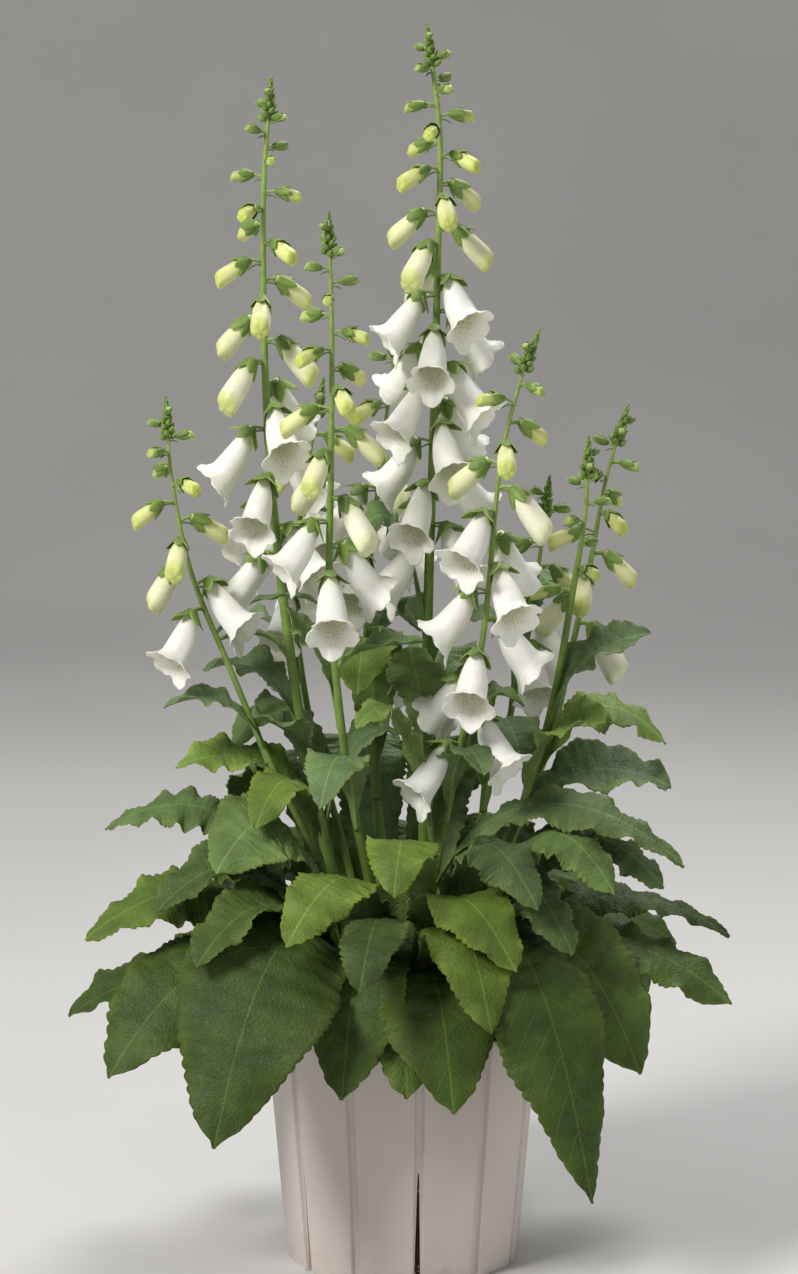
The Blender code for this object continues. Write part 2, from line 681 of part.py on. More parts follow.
def ring_shape():
    """The ring of leaf bases: half a torus that lies flat on the soil."""
    section = [(1.0, 0.0), (0.6, 0.95), (-0.6, 0.95), (-1.0, 0.0)]
    count = len(section)
    points, faces = [], []
    for k in range(RING_SEGMENTS):
        out = bearing(360 * k / RING_SEGMENTS)
        lump = 1 + 0.15 * (k % 2)
        for across, height in section:
            level = SOIL_TOP + FIT_GAP + RING_TUBE * height * lump
            points.append(out * (RING_RADIUS + RING_TUBE * across) + UP * level)
    for k in range(RING_SEGMENTS):
        a, b = k * count, (k + 1) % RING_SEGMENTS * count
        for n in range(count):
            m = (n + 1) % count
            faces.append((a + n, b + n, b + m, a + m))
    return points, faces


def lower_leaves():
    """The large leaves from the ring: those of the front by hand, and those of the back by a rule."""
    rows = list(LOWER_LEAVES)
    draw = random.Random(SEED)
    low, high = BACK_SPAN
    for number in range(BACK_LEAVES):
        share = (number + 0.5) / BACK_LEAVES
        layer = number % 3
        rows.append((
            low + (high - low) * share + draw.uniform(-3, 3),
            draw.uniform(0.170, 0.195) - 0.038 * layer,
            draw.uniform(0.075, 0.095) + 0.052 * layer,
            draw.uniform(-0.050, 0.000) + 0.076 * layer,
            draw.uniform(0.066, 0.084) - 0.006 * layer,
            draw.uniform(-0.25, 0.05),
            draw.uniform(-0.008, 0.008),
            0,
        ))
    leaves = []
    for number, (around, *form) in enumerate(rows):
        root = bearing(around) * RING_RADIUS + UP * (SOIL_TOP + RING_TUBE * 0.6)
        leaves.append(Leaf(root, around, *form, 0.7 * number))
    return leaves


def stem_leaves(paths):
    """(stem name, leaf) of each leaf that grows on a stem, its root in the middle of the stem."""
    leaves = []
    for number, (name, height, around, *form) in enumerate(STEM_LEAVES):
        root, _ = at_height(paths[name], height)
        leaves.append((name, Leaf(root, around, *form, 1.3 * number)))
    return leaves


# ---- Room for every piece --------------------------------------------------------------------------

TURN_STEP = 6
LIFT_STEP = 0.008
FLOWER_TRIES = [(0, 0)] + [(turn, more) for turn in (12, -12, 24, -24, 38, -38, 54, -54, 75, -75)
                           for more in (0, 10, -10)]
LEAF_TRIES = sorted(
    ((turn, lift) for turn in (0, 6, -6, 12, -12, 18, -18, 25, -25, 33, -33)
     for lift in (0, 0.010, -0.010, 0.020, -0.020, 0.032, 0.045)),
    key=lambda trial: abs(trial[0]) / TURN_STEP + abs(trial[1]) / LIFT_STEP,
)


# What has been placed so far: its owner, the whole shape, and the part that its own siblings avoid.
Placed = namedtuple("Placed", "owner tree points low high own")


class Room:
    """What has been placed so far. It says whether a new shape keeps clear of it."""

    def __init__(self):
        self.placed = []

    def add(self, owner, shape, own=None):
        low, high = self.box(shape)
        own_tree = BVHTree.FromPolygons(*own) if own else None
        self.placed.append(Placed(owner, BVHTree.FromPolygons(*shape), shape[0], low, high, own_tree))

    @staticmethod
    def box(shape):
        low = Vector(min(p[k] for p in shape[0]) - CLEARANCE for k in range(3))
        high = Vector(max(p[k] for p in shape[0]) + CLEARANCE for k in range(3))
        return low, high

    def near(self, shape):
        low, high = self.box(shape)
        return [
            p for p in self.placed
            if all(low[k] <= p.high[k] and high[k] >= p.low[k] for k in range(3))
        ]

    def meets_others(self, owner, shape):
        """Whether the shape crosses or nearly touches another body."""
        tree = BVHTree.FromPolygons(*shape)
        for other in self.near(shape):
            if other.owner == owner:
                continue
            if tree.overlap(other.tree):
                return True
            if any(other.tree.find_nearest(p, CLEARANCE)[0] for p in shape[0]):
                return True
            if any(tree.find_nearest(p, CLEARANCE)[0] for p in other.points):
                return True
        return False

    def meets_own(self, owner, shape):
        """Whether the shape crosses another flower or leaf of its own body."""
        tree = BVHTree.FromPolygons(*shape)
        return any(p.own and tree.overlap(p.own) for p in self.near(shape) if p.owner == owner)


def place_flowers(room, spike, path):
    """The flowers of a spike, each turned or drooped until it is clear, and left out if it can't be."""
    placed = []
    for height, around, growth in flower_plan(spike):
        for turn, more in FLOWER_TRIES:
            flower = flower_at(spike, path, height, around + turn, growth, more)
            shape = flower_shape(flower)
            if room.meets_others(spike.name, shape):
                continue
            if growth > GREEN_BUD and room.meets_own(spike.name, shape):
                continue
            room.add(spike.name, shape, shape)
            placed.append(flower)
            break
    return placed


def place_leaf(room, owner, leaf):
    """The leaf turned or lifted until it is clear of other bodies, and best of its own too."""
    spare = None
    for turn, lift in LEAF_TRIES:
        moved = leaf._replace(bearing=leaf.bearing + turn, apex=leaf.apex + lift, tip=leaf.tip + lift)
        if owner == LOWER_NODE:
            moved = moved._replace(root=bearing(moved.bearing) * RING_RADIUS + UP * leaf.root.z)
        if room.meets_others(owner, leaf_mesh(moved, leaf_steps(moved), BLADE)):
            continue
        spare = spare or moved
        if not room.meets_own(owner, leaf_mesh(moved, leaf_steps(moved), BLADE, STALK_SHARE)):
            spare = moved
            break
    if spare:
        steps = leaf_steps(spare)
        room.add(owner, leaf_mesh(spare, steps, BLADE), leaf_mesh(spare, steps, BLADE, STALK_SHARE))
    return spare


LOWER_NODE = "lower_leaves"
STALK_SHARE = 0.3


def tub_shape():
    """The plain outside of the pot."""
    turns = [math.degrees(POT_TWIST) + 360 * k / POT_SIDES for k in range(POT_SIDES)]
    points = [bearing(turn) * pot_radius(z) + UP * z for z in (0, POT_HEIGHT) for turn in turns]
    after = [(k + 1) % POT_SIDES for k in range(POT_SIDES)]
    return points, [(k, after[k], POT_SIDES + after[k], POT_SIDES + k) for k in range(POT_SIDES)]


def plant_plan():
    """Every flower and leaf where it ends up: (flowers by stem, leaves by stem, lower leaves)."""
    paths = stem_paths()
    room = Room()
    for spike in SPIKES:
        room.add(spike.name, stem_shape(spike, paths[spike.name]))
    room.add("pot", tub_shape())
    room.add(LOWER_NODE, ring_shape())
    flowers = {spike.name: place_flowers(room, spike, paths[spike.name]) for spike in SPIKES}
    leaves = {spike.name: [] for spike in SPIKES}
    for name, leaf in stem_leaves(paths):
        placed = place_leaf(room, name, leaf)
        if placed:
            leaves[name].append(placed)
    lower = [place_leaf(room, LOWER_NODE, leaf) for leaf in lower_leaves()]
    return flowers, leaves, [leaf for leaf in lower if leaf]


# ---- Building the plant ----------------------------------------------------------------------------


def keep_largest_island(target):
    """Removes crumbs, which form where two waved blades graze each other."""
    shape = bmesh.new()
    shape.from_mesh(target.data)
    left, islands = set(shape.verts), []
    while left:
        island, border = set(), [next(iter(left))]
        while border:
            point = border.pop()
            if point not in island:
                island.add(point)
                border += [edge.other_vert(point) for edge in point.link_edges]
        islands.append(island)
        left -= island
    largest = max(islands, key=len)
    crumbs = [point for point in shape.verts if point not in largest]
    bmesh.ops.delete(shape, geom=crumbs, context="VERTS")
    shape.to_mesh(target.data)
    shape.free()


def unite(target, shapes):
    """Fuses a list of closed shapes to the target."""
    pieces = collection("pieces")
    for number, (points, faces) in enumerate(shapes):
        mesh_object(f"piece_{number}", points, faces, pieces)
    combine(target, pieces, "UNION", "MANIFOLD")
    keep_largest_island(target)


def make_stem(home, spike, path, flowers, leaves, look):
    stem = mesh_object(f"stem_{spike.name}", *stem_shape(spike, path), home)
    shapes = tip_buds(spike, path) + [flower_shape(flower) for flower in flowers]
    shapes += [leaf_mesh(leaf, leaf_steps(leaf), BLADE) for leaf in leaves]
    unite(stem, shapes)
    stem.data.materials.append(look)
    return stem


def make_lower_leaves(home, leaves, look):
    """The ring of leaf bases, with the large leaves fused to it."""
    ring = mesh_object(LOWER_NODE, *ring_shape(), home)
    unite(ring, [leaf_mesh(leaf, leaf_steps(leaf), BLADE) for leaf in leaves])
    ring.data.materials.append(look)
    return ring


def main():
    clear_scene()
    home = collection("potted_foxglove")
    make_pot(home)
    make_soil(home, SPIKES)
    flowers, leaves, lower = plant_plan()
    paths = stem_paths()
    green = material("leafy_green", (0.10, 0.20, 0.05), 0.6)
    for spike in SPIKES:
        make_stem(home, spike, paths[spike.name], flowers[spike.name], leaves[spike.name], green)
    make_lower_leaves(home, lower, green)


main()
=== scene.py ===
"""The looks of a white foxglove in a slatted pot: every surface, hair and vein, dressed over its frame.

Units are metres, +Z is up and the front is -Y. A bearing is an angle seen from above: 0 points to the
front, 90 to +X and -90 to -X.
"""

import json
import math
import random
from collections import namedtuple

import bmesh
import bpy
import numpy as np
from mathutils import Matrix, Vector, noise
from mathutils.bvhtree import BVHTree

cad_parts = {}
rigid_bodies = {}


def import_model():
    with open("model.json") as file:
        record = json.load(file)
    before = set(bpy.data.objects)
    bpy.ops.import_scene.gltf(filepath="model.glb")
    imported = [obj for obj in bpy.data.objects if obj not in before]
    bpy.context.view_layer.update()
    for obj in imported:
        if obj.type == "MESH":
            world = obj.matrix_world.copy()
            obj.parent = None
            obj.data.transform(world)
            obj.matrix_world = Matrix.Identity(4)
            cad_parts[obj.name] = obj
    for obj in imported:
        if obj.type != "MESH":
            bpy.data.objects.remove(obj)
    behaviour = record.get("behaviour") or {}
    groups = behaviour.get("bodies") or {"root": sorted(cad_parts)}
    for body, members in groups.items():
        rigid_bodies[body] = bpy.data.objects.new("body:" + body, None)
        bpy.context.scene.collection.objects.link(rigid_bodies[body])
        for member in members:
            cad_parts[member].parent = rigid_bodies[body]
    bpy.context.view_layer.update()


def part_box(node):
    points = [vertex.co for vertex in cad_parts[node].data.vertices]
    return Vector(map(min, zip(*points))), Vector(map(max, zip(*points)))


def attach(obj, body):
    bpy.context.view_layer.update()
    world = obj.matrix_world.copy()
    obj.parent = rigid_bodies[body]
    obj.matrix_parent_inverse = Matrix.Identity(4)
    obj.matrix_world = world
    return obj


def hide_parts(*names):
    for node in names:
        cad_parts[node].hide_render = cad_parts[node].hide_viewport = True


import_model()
scene = bpy.context.scene


# ---- Pot -------------------------------------------------------------------------------------------
# A one-piece pot of matte white plastic, moulded with twelve flat sides. A flat groove with round edges
# runs down each corner, and up every second groove runs a wedge-shaped slit. The rim is plain.

POT_HEIGHT = round(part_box("pot")[1].z, 4)
POT_SIDES = 12
POT_FOOT_RADIUS = 0.090
POT_RIM_RADIUS = 0.107
POT_WALL = 0.006
POT_TWIST = math.radians(7)
# How deep the groove is at the corner, then at distances from it: a flat bottom, a steep wall and a
# round edge.
GROOVE_DEPTH = 0.0042
GROOVE = [(0.0014, 0.0040), (0.0029, 0.0036), (0.0033, 0.0032), (0.0036, 0.0016), (0.0038, 0.0006),
          (0.0042, 0.0001), (0.0046, 0.0)]
SIDE_STEPS = 4
SLIT_HALF_WIDTH = 0.0027
SLIT_HEIGHT = 0.0895
SLIT_DEPTH = 2.2 * POT_WALL
SLIT_TOP_HALF_WIDTH = 0.0006
SLIT_TOP_DROP = 0.0015
DRAINS = 4
DRAIN_RADIUS = 0.006
DRAIN_OFFSET = 0.045
PLASTIC_LOW = (0.640, 0.565, 0.520, 1)
PLASTIC_HIGH = (0.690, 0.620, 0.575, 1)
SPLASH = (0.42, 0.36, 0.30, 1)
SPLASH_HEIGHT = 0.05
SHARP_EDGE = math.radians(35)


def pot_radius(height):
    """The corner radius of the pot's outside at a height."""
    return POT_FOOT_RADIUS + (POT_RIM_RADIUS - POT_FOOT_RADIUS) * height / POT_HEIGHT


def bearing(degrees):
    """The level direction of a bearing."""
    angle = math.radians(degrees)
    return Vector((math.sin(angle), -math.cos(angle), 0))


def pot_outline(radius, groove):
    """A level section: a regular polygon whose corners are sunk by a share of the groove's depth."""
    step = math.tau / POT_SIDES
    inner = radius * math.cos(step / 2)
    half_side = radius * math.sin(step / 2)
    plain = half_side - GROOVE[-1][0]
    line = [(from_corner - half_side, sink) for from_corner, sink in GROOVE]
    line += [(plain * (2 * k / SIDE_STEPS - 1), 0.0) for k in range(1, SIDE_STEPS)]
    line += [(half_side - from_corner, sink) for from_corner, sink in GROOVE[::-1]]
    points = []
    for side in range(POT_SIDES):
        corner = POT_TWIST + side * step + math.pi / 2
        points.append(Vector((math.cos(corner), math.sin(corner))) * (radius - groove * GROOVE_DEPTH))
        out = Vector((math.cos(corner + step / 2), math.sin(corner + step / 2)))
        along = Vector((-out.y, out.x))
        points += [out * (inner - groove * sink) + along * across for across, sink in line]
    return points


def finished_mesh(name, shape):
    """Turns a bmesh into a mesh whose faces all look outwards."""
    bmesh.ops.recalc_face_normals(shape, faces=shape.faces)
    mesh = bpy.data.meshes.new(name)
    shape.to_mesh(mesh)
    shape.free()
    return mesh


def pot_mesh():
    """The pot as level sections: up the outside, over the rim and down the inside to its floor."""
    wall = POT_WALL / math.cos(math.pi / POT_SIDES)
    # (height, inset, share of the groove's depth)
    sections = [(0.0000, 0.0012, 1.0), (0.0004, 0.0004, 1.0), (0.0014, 0.0, 1.0)]
    sections += [(POT_HEIGHT * k / 10, 0.0, 1.0) for k in range(1, 10)]
    sections += [(POT_HEIGHT - 0.0012, 0.0, 1.0), (POT_HEIGHT - 0.0004, 0.0004, 1.0),
                 (POT_HEIGHT, 0.0013, 1.0), (POT_HEIGHT, wall - 0.0010, 0.1),
                 (POT_HEIGHT - 0.0006, wall - 0.0002, 0.0), (POT_HEIGHT - 0.0016, wall, 0.0),
                 (POT_WALL + 0.0020, wall, 0.0), (POT_WALL, wall + 0.0020, 0.0)]
    shape = bmesh.new()
    rings = []
    for height, inset, groove in sections:
        outline = pot_outline(pot_radius(height) - inset, groove)
        rings.append([shape.verts.new((point.x, point.y, height)) for point in outline])
    for low, high in zip(rings, rings[1:]):
        for k, point in enumerate(low):
            after = (k + 1) % len(low)
            shape.faces.new((point, low[after], high[after], high[k]))
    shape.faces.new(rings[0][::-1])
    shape.faces.new(rings[-1])
    return finished_mesh("moulded_pot", shape)


def place_in_scene(name, mesh):
    made = bpy.data.objects.new(name, mesh)
    scene.collection.objects.link(made)
    return made


def pot_cutters():
    """Six tall wedges with blunt tops for the slits, and four round drains in the floor."""
    cutters = bpy.data.collections.new("pot_cutters")
    scene.collection.children.link(cutters)
    lean = math.atan2(POT_RIM_RADIUS - POT_FOOT_RADIUS, POT_HEIGHT)
    shoulder = SLIT_HEIGHT - SLIT_TOP_DROP
    outline = [(-SLIT_HALF_WIDTH, -0.01), (SLIT_HALF_WIDTH, -0.01), (SLIT_TOP_HALF_WIDTH, shoulder),
               (0.0, SLIT_HEIGHT), (-SLIT_TOP_HALF_WIDTH, shoulder)]
    count = len(outline)
    faces = [tuple(range(count)), tuple(range(2 * count - 1, count - 1, -1))]
    faces += [(k, count + k, count + (k + 1) % count, (k + 1) % count) for k in range(count)]
    for corner in range(0, POT_SIDES, 2):
        turn = Matrix.Rotation(POT_TWIST + corner * math.tau / POT_SIDES, 4, "Z")
        place = turn @ Matrix.Translation((0, pot_radius(0), 0)) @ Matrix.Rotation(-lean, 4, "X")
        wedge = bmesh.new()
        points = [wedge.verts.new(place @ Vector((x, y, z)))
                  for y in (-SLIT_DEPTH, POT_WALL) for x, z in outline]
        for face in faces:
            wedge.faces.new([points[k] for k in face])
        cutters.objects.link(bpy.data.objects.new("slit", finished_mesh("slit", wedge)))
    for drain in range(DRAINS):
        hole = bmesh.new()
        place = Matrix.Translation(bearing(45 + drain * 360 / DRAINS) * DRAIN_OFFSET)
        bmesh.ops.create_cone(hole, cap_ends=True, segments=24, radius1=DRAIN_RADIUS,
                              radius2=DRAIN_RADIUS, depth=4 * POT_WALL, matrix=place)
        cutters.objects.link(bpy.data.objects.new("drain", finished_mesh("drain", hole)))
    return cutters


def feed(tree, socket, value):
    """Links an output to a socket, or sets a plain value on it."""
    if isinstance(value, bpy.types.NodeSocket):
        tree.links.new(value, socket)
    else:
        socket.default_value = value


def node(tree, kind, inputs=None, **settings):
    made = tree.nodes.new(kind)
    for key, value in settings.items():
        setattr(made, key, value)
    for key, value in (inputs or {}).items():
        feed(tree, made.inputs[key], value)
    return made


def new_material(name):
    """A fresh material: its node tree, its Principled shader and the place on the piece."""
    made = bpy.data.materials.new(name)
    made.use_nodes = True
    tree = made.node_tree
    return made, tree, tree.nodes["Principled BSDF"], node(tree, "ShaderNodeTexCoord").outputs["Object"]


def set_plain(shader, **values):
    """Sets plain values on a shader's sockets, named with _ for a space."""
    for name, value in values.items():
        shader.inputs[name.replace("_", " ")].default_value = value


def maths(tree, operation, *values):
    return node(tree, "ShaderNodeMath", dict(enumerate(values)), operation=operation).outputs[0]


def times(tree, first, second):
    return maths(tree, "MULTIPLY", first, second)


def blend(tree, share, first, second):
    """Mixes two colours."""
    inputs = {0: share, 6: first, 7: second}
    return node(tree, "ShaderNodeMix", inputs, data_type="RGBA", clamp_factor=True).outputs[2]


def fade(tree, value, low, high, to_low=0.0, to_high=1.0):
    """Maps a value smoothly from one range to another."""
    inputs = {"Value": value, "From Min": low, "From Max": high, "To Min": to_low, "To Max": to_high}
    return node(tree, "ShaderNodeMapRange", inputs, interpolation_type="SMOOTHSTEP").outputs["Result"]


def mottle(tree, place, scale, detail=4.0):
    """A soft noise from 0 to 1."""
    inputs = {"Vector": place, "Scale": scale, "Detail": detail}
    return node(tree, "ShaderNodeTexNoise", inputs).outputs["Fac"]


def raise_surface(tree, shader, height, strength, distance):
    bump = node(tree, "ShaderNodeBump", {"Height": height, "Strength": strength, "Distance": distance})
    feed(tree, shader.inputs["Normal"], bump.outputs["Normal"])


def pot_material():
    made, tree, shader, place = new_material("matte_white_plastic")
    cloud = mottle(tree, place, 9.0)
    clean = blend(tree, fade(tree, cloud, 0.35, 0.7), PLASTIC_LOW, PLASTIC_HIGH)
    height = node(tree, "ShaderNodeSeparateXYZ", {"Vector": place}).outputs["Z"]
    low_down = fade(tree, height, SPLASH_HEIGHT, 0.0)
    splash = times(tree, low_down, fade(tree, mottle(tree, place, 60.0), 0.45, 0.75))
    feed(tree, shader.inputs["Base Color"], blend(tree, times(tree, splash, 0.35), clean, SPLASH))
    feed(tree, shader.inputs["Roughness"], fade(tree, cloud, 0.3, 0.7, 0.42, 0.52))
    raise_surface(tree, shader, mottle(tree, place, 900.0, 2.0), 0.12, 0.0003)
    return made


def make_pot():
    pot = place_in_scene("moulded_pot", pot_mesh())
    cutters = pot_cutters()
    cut = pot.modifiers.new("slits", "BOOLEAN")
    cut.operation = "DIFFERENCE"
    cut.operand_type = "COLLECTION"
    cut.collection = cutters
    cut.solver = "MANIFOLD"
    slotted = bpy.data.meshes.new_from_object(pot.evaluated_get(bpy.context.evaluated_depsgraph_get()))
    pot.modifiers.clear()
    pot.data = slotted
    for cutter in list(cutters.objects):
        bpy.data.objects.remove(cutter)
    bpy.data.collections.remove(cutters)
    slotted.materials.clear()
    slotted.materials.append(pot_material())
    slotted.shade_smooth()
    slotted.set_sharp_from_angle(angle=SHARP_EDGE)
    return pot


pot = make_pot()
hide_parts("pot")
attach(pot, "root")


# ---- Potting soil ----------------------------------------------------------------------------------
# Dark damp compost with pale and yellowish specks. The body that fills the pot keeps its shape, and a
# lumpy crust of crumbs lies on it, close round the foot of each stem.

SOIL_TOP = round(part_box("potting_soil")[1].z, 4)
CRUST_STEP = 0.0018
CRUST_GAP = 0.0015
COMPOST_DARK = (0.010, 0.007, 0.005, 1)
COMPOST_LIGHT = (0.075, 0.048, 0.030, 1)
SPECK_BROWN = (0.33, 0.22, 0.09, 1)
SPECK_PALE = (0.52, 0.46, 0.34, 1)


def soil_material():
    made, tree, shader, place = new_material("damp_compost")
    crumbs = mottle(tree, place, 420.0, 8.0)
    dark = blend(tree, fade(tree, crumbs, 0.35, 0.68), COMPOST_DARK, COMPOST_LIGHT)
    cells = node(tree, "ShaderNodeTexVoronoi", {"Vector": place, "Scale": 330.0})
    pick = node(tree, "ShaderNodeSeparateColor", {"Color": cells.outputs["Color"]})
    speck = times(tree, fade(tree, pick.outputs["Red"], 0.86, 0.88),
                  fade(tree, cells.outputs["Distance"], 0.42, 0.30))
    tone = blend(tree, pick.outputs["Green"], SPECK_BROWN, SPECK_PALE)
    feed(tree, shader.inputs["Base Color"], blend(tree, speck, dark, tone))
    set_plain(shader, Roughness=0.95)
    raise_surface(tree, shader, crumbs, 0.9, 0.0015)
    return made


def smooth_mesh(name, points, faces):
    mesh = bpy.data.meshes.new(name)
    mesh.from_pydata(points, [], faces)
    mesh.shade_smooth()
    return mesh


def crust_mesh():
    """A disc of crumbs: a grid raised by noise, thin at its edge, that fits inside the pot's wall."""
    reach = (pot_radius(SOIL_TOP) - POT_WALL) * math.cos(math.pi / POT_SIDES) - CRUST_GAP
    count = int(reach / CRUST_STEP)
    places, points, faces = {}, [], []
    for i in range(-count, count + 1):
        for j in range(-count, count + 1):
            x, y = i * CRUST_STEP, j * CRUST_STEP
            gap = reach - math.hypot(x, y)
            if gap < 0:
                continue
            lump = max(noise.noise(Vector((x, y, 0)) * 55) * 0.0022, -0.001)
            crumb = abs(noise.noise(Vector((x, y, 3)) * 260)) * 0.0034
            crumb += abs(noise.noise(Vector((x, y, 7)) * 620)) * 0.0016
            rise = min(gap / (4 * CRUST_STEP), 1.0) * (0.0014 + lump + crumb)
            places[i, j] = len(points)
            points.append((x, y, SOIL_TOP - 0.0002 + rise))
    for i, j in list(places):
        corners = [(i, j), (i + 1, j), (i + 1, j + 1), (i, j + 1)]
        if all(corner in places for corner in corners):
            faces.append([places[corner] for corner in corners])
    return smooth_mesh("soil_crust", points, faces)


compost = soil_material()
soil = bpy.data.objects["potting_soil"]
soil.data.materials.clear()
soil.data.materials.append(compost)
crust = place_in_scene("soil_crust", crust_mesh())
crust.data.materials.append(compost)
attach(crust, "root")


# ---- How the plant grows ---------------------------------------------------------------------------
# One foxglove: ten flowering stems rise from the soil through a rosette of large leaves. Flowers spiral
# up each stem, the oldest lowest, and every flower and leaf turns aside until it has room.

FIT_GAP = 0.0004
STEM_DEPTH = 0.030
CLEARANCE = 0.0022
BLADE = 0.0008
PETAL = 0.0010
UP = Vector((0, 0, 1))

# foot is where the stem leaves the soil, and bends are the points that it passes through, the last one
# its tip. girth is the stem's radius where it flowers. Flowers sit from low to the tip: open is the
# share of them that are open bells, ripest the growth of the lowest one, and turn the first bearing.
Spike = namedtuple("Spike", "name foot bends girth flowers low open ripest turn")

SPIKES = [
    Spike("left_low", (-0.034, -0.021),
          [(-0.055, -0.024, 0.290), (-0.098, -0.024, 0.383), (-0.132, -0.018, 0.463),
           (-0.158, -0.012, 0.528), (-0.172, -0.006, 0.598), (-0.176, 0.000, 0.652)],
          0.0021, 12, 0.500, 0.10, 1.0, -60),
    Spike("left_tall", (-0.030, 0.012),
          [(-0.044, 0.010, 0.252), (-0.074, 0.004, 0.395), (-0.090, 0.000, 0.510),
           (-0.101, 0.000, 0.640), (-0.103, 0.000, 0.795), (-0.097, 0.000, 0.886)],
          0.0034, 25, 0.540, 0.30, 1.0, -75),
    Spike("left_front", (-0.010, -0.034),
          [(-0.020, -0.042, 0.270), (-0.041, -0.056, 0.385), (-0.053, -0.070, 0.510),
           (-0.052, -0.080, 0.610), (-0.051, -0.084, 0.710), (-0.053, -0.086, 0.790)],
          0.0027, 19, 0.535, 0.14, 1.0, 5),
    Spike("centre_tall", (0.020, 0.002),
          [(0.016, 0.000, 0.330), (0.019, 0.000, 0.502), (0.023, 0.000, 0.640),
           (0.026, 0.000, 0.770), (0.027, 0.000, 0.850), (0.018, 0.000, 0.925)],
          0.0036, 33, 0.545, 0.44, 1.0, -80),
    Spike("right_front", (0.011, -0.038),
          [(0.018, -0.050, 0.270), (0.044, -0.058, 0.413), (0.059, -0.064, 0.490),
           (0.070, -0.070, 0.609), (0.084, -0.073, 0.672), (0.096, -0.075, 0.706)],
          0.0026, 17, 0.405, 0.52, 1.0, -70),
    Spike("right_low", (0.040, -0.008),
          [(0.062, -0.010, 0.280), (0.094, -0.008, 0.362), (0.113, -0.004, 0.430),
           (0.127, 0.000, 0.510), (0.136, 0.000, 0.570), (0.138, 0.000, 0.622)],
          0.0025, 8, 0.510, 0.0, 0.55, -100),
    Spike("right_outer", (0.036, 0.019),
          [(0.074, 0.036, 0.290), (0.112, 0.048, 0.385), (0.131, 0.052, 0.467),
           (0.144, 0.055, 0.530), (0.155, 0.058, 0.590), (0.170, 0.060, 0.642)],
          0.0023, 12, 0.480, 0.06, 0.97, 70),
    Spike("centre_back", (0.002, 0.039),
          [(-0.010, 0.055, 0.270), (-0.027, 0.076, 0.400), (-0.027, 0.086, 0.500),
           (-0.019, 0.092, 0.580), (-0.010, 0.096, 0.656), (-0.004, 0.096, 0.706)],
          0.0025, 11, 0.470, 0.45, 1.0, 60),
    Spike("right_back", (0.022, 0.034),
          [(0.050, 0.062, 0.290), (0.080, 0.080, 0.390), (0.098, 0.088, 0.470),
           (0.106, 0.092, 0.525), (0.113, 0.092, 0.584)],
          0.0023, 8, 0.460, 0.20, 1.0, 30),
    Spike("left_back", (-0.020, 0.035),
          [(-0.045, 0.060, 0.300), (-0.072, 0.074, 0.400), (-0.084, 0.084, 0.500),
           (-0.076, 0.090, 0.580), (-0.062, 0.092, 0.660)],
          0.0024, 9, 0.500, 0.50, 1.0, -20),
]

FOOT_GIRTH = 1.35
TIP_GIRTH = 0.45
KNOT_RISE = 0.020
PATH_STEPS = 8
RING_STEP = 7
STEM_SIDES = 5


def stem_path(spike):
    """Evenly spread points up the stem, on a smooth curve through its foot and bends."""
    foot = Vector((*spike.foot, SOIL_TOP - STEM_DEPTH + FIT_GAP))
    knots = [foot, Vector((*spike.foot, SOIL_TOP + KNOT_RISE))] + [Vector(bend) for bend in spike.bends]
    ends = [2 * knots[0] - knots[1]] + knots + [2 * knots[-1] - knots[-2]]
    path = [foot]
    for a, b, c, d in zip(ends, ends[1:], ends[2:], ends[3:]):
        for step in range(1, PATH_STEPS + 1):
            t = step / PATH_STEPS
            path.append(0.5 * (2 * b + (c - a) * t + (2 * a - 5 * b + 4 * c - d) * t * t
                               + (3 * b - 3 * c + d - a) * t * t * t))
    return path


PATHS = {spike.name: stem_path(spike) for spike in SPIKES}


def tip_height(spike):
    return spike.bends[-1][2]


def at_height(path, height):
    """The point of a stem at a height, and the stem's direction there."""
    for low, high in zip(path, path[1:]):
        if low.z <= height <= high.z:
            share = (height - low.z) / max(high.z - low.z, 1e-9)
            return low.lerp(high, share), (high - low).normalized()
    return path[-1], (path[-1] - path[-2]).normalized()


def stem_girth(spike, height):
    """The stem's radius: stout at the soil, even where it flowers, and fine at the tip."""
    if height < spike.low:
        share = (height - SOIL_TOP) / (spike.low - SOIL_TOP)
        return spike.girth * (FOOT_GIRTH + (1 - FOOT_GIRTH) * min(max(share, 0), 1))
    share = (height - spike.low) / (tip_height(spike) - spike.low)
    return spike.girth * (1 + (TIP_GIRTH - 1) * min(share, 1))


def ring_faces(rings, count, loop=False):
    """The faces from each ring of points to the next, and from the last to the first of a loop."""
    return [(a + k, b + k, b + (k + 1) % count, a + (k + 1) % count)
            for a, b in ((ring * count, (ring + 1) % rings * count) for ring in range(rings - 1 + loop))
            for k in range(count)]


def tube(points, radii, sides):
    """A closed tube along points, as (points, faces)."""
    around = [math.tau * k / sides for k in range(sides)]
    made = []
    for k, (point, radius) in enumerate(zip(points, radii)):
        along = (points[min(k + 1, len(points) - 1)] - points[max(k - 1, 0)]).normalized()
        side = along.cross(Vector((0, 1, 0.2))).normalized()
        front = side.cross(along)
        made += [point + (side * math.cos(a) + front * math.sin(a)) * radius for a in around]
    ends = [tuple(range(sides)), tuple(range(len(made) - 1, len(made) - sides - 1, -1))]
    return made, ring_faces(len(points), sides) + ends


def stem_shape(spike):
    """The bare stem in a few rings: at its foot, at its upright start, then evenly, and at its tip."""
    path = PATHS[spike.name]
    last = len(path) - 1
    rings = [0, PATH_STEPS] + list(range(2 * RING_STEP, last, RING_STEP)) + [last]
    chosen = [path[ring] for ring in rings]
    return tube(chosen, [stem_girth(spike, point.z) for point in chosen], STEM_SIDES)


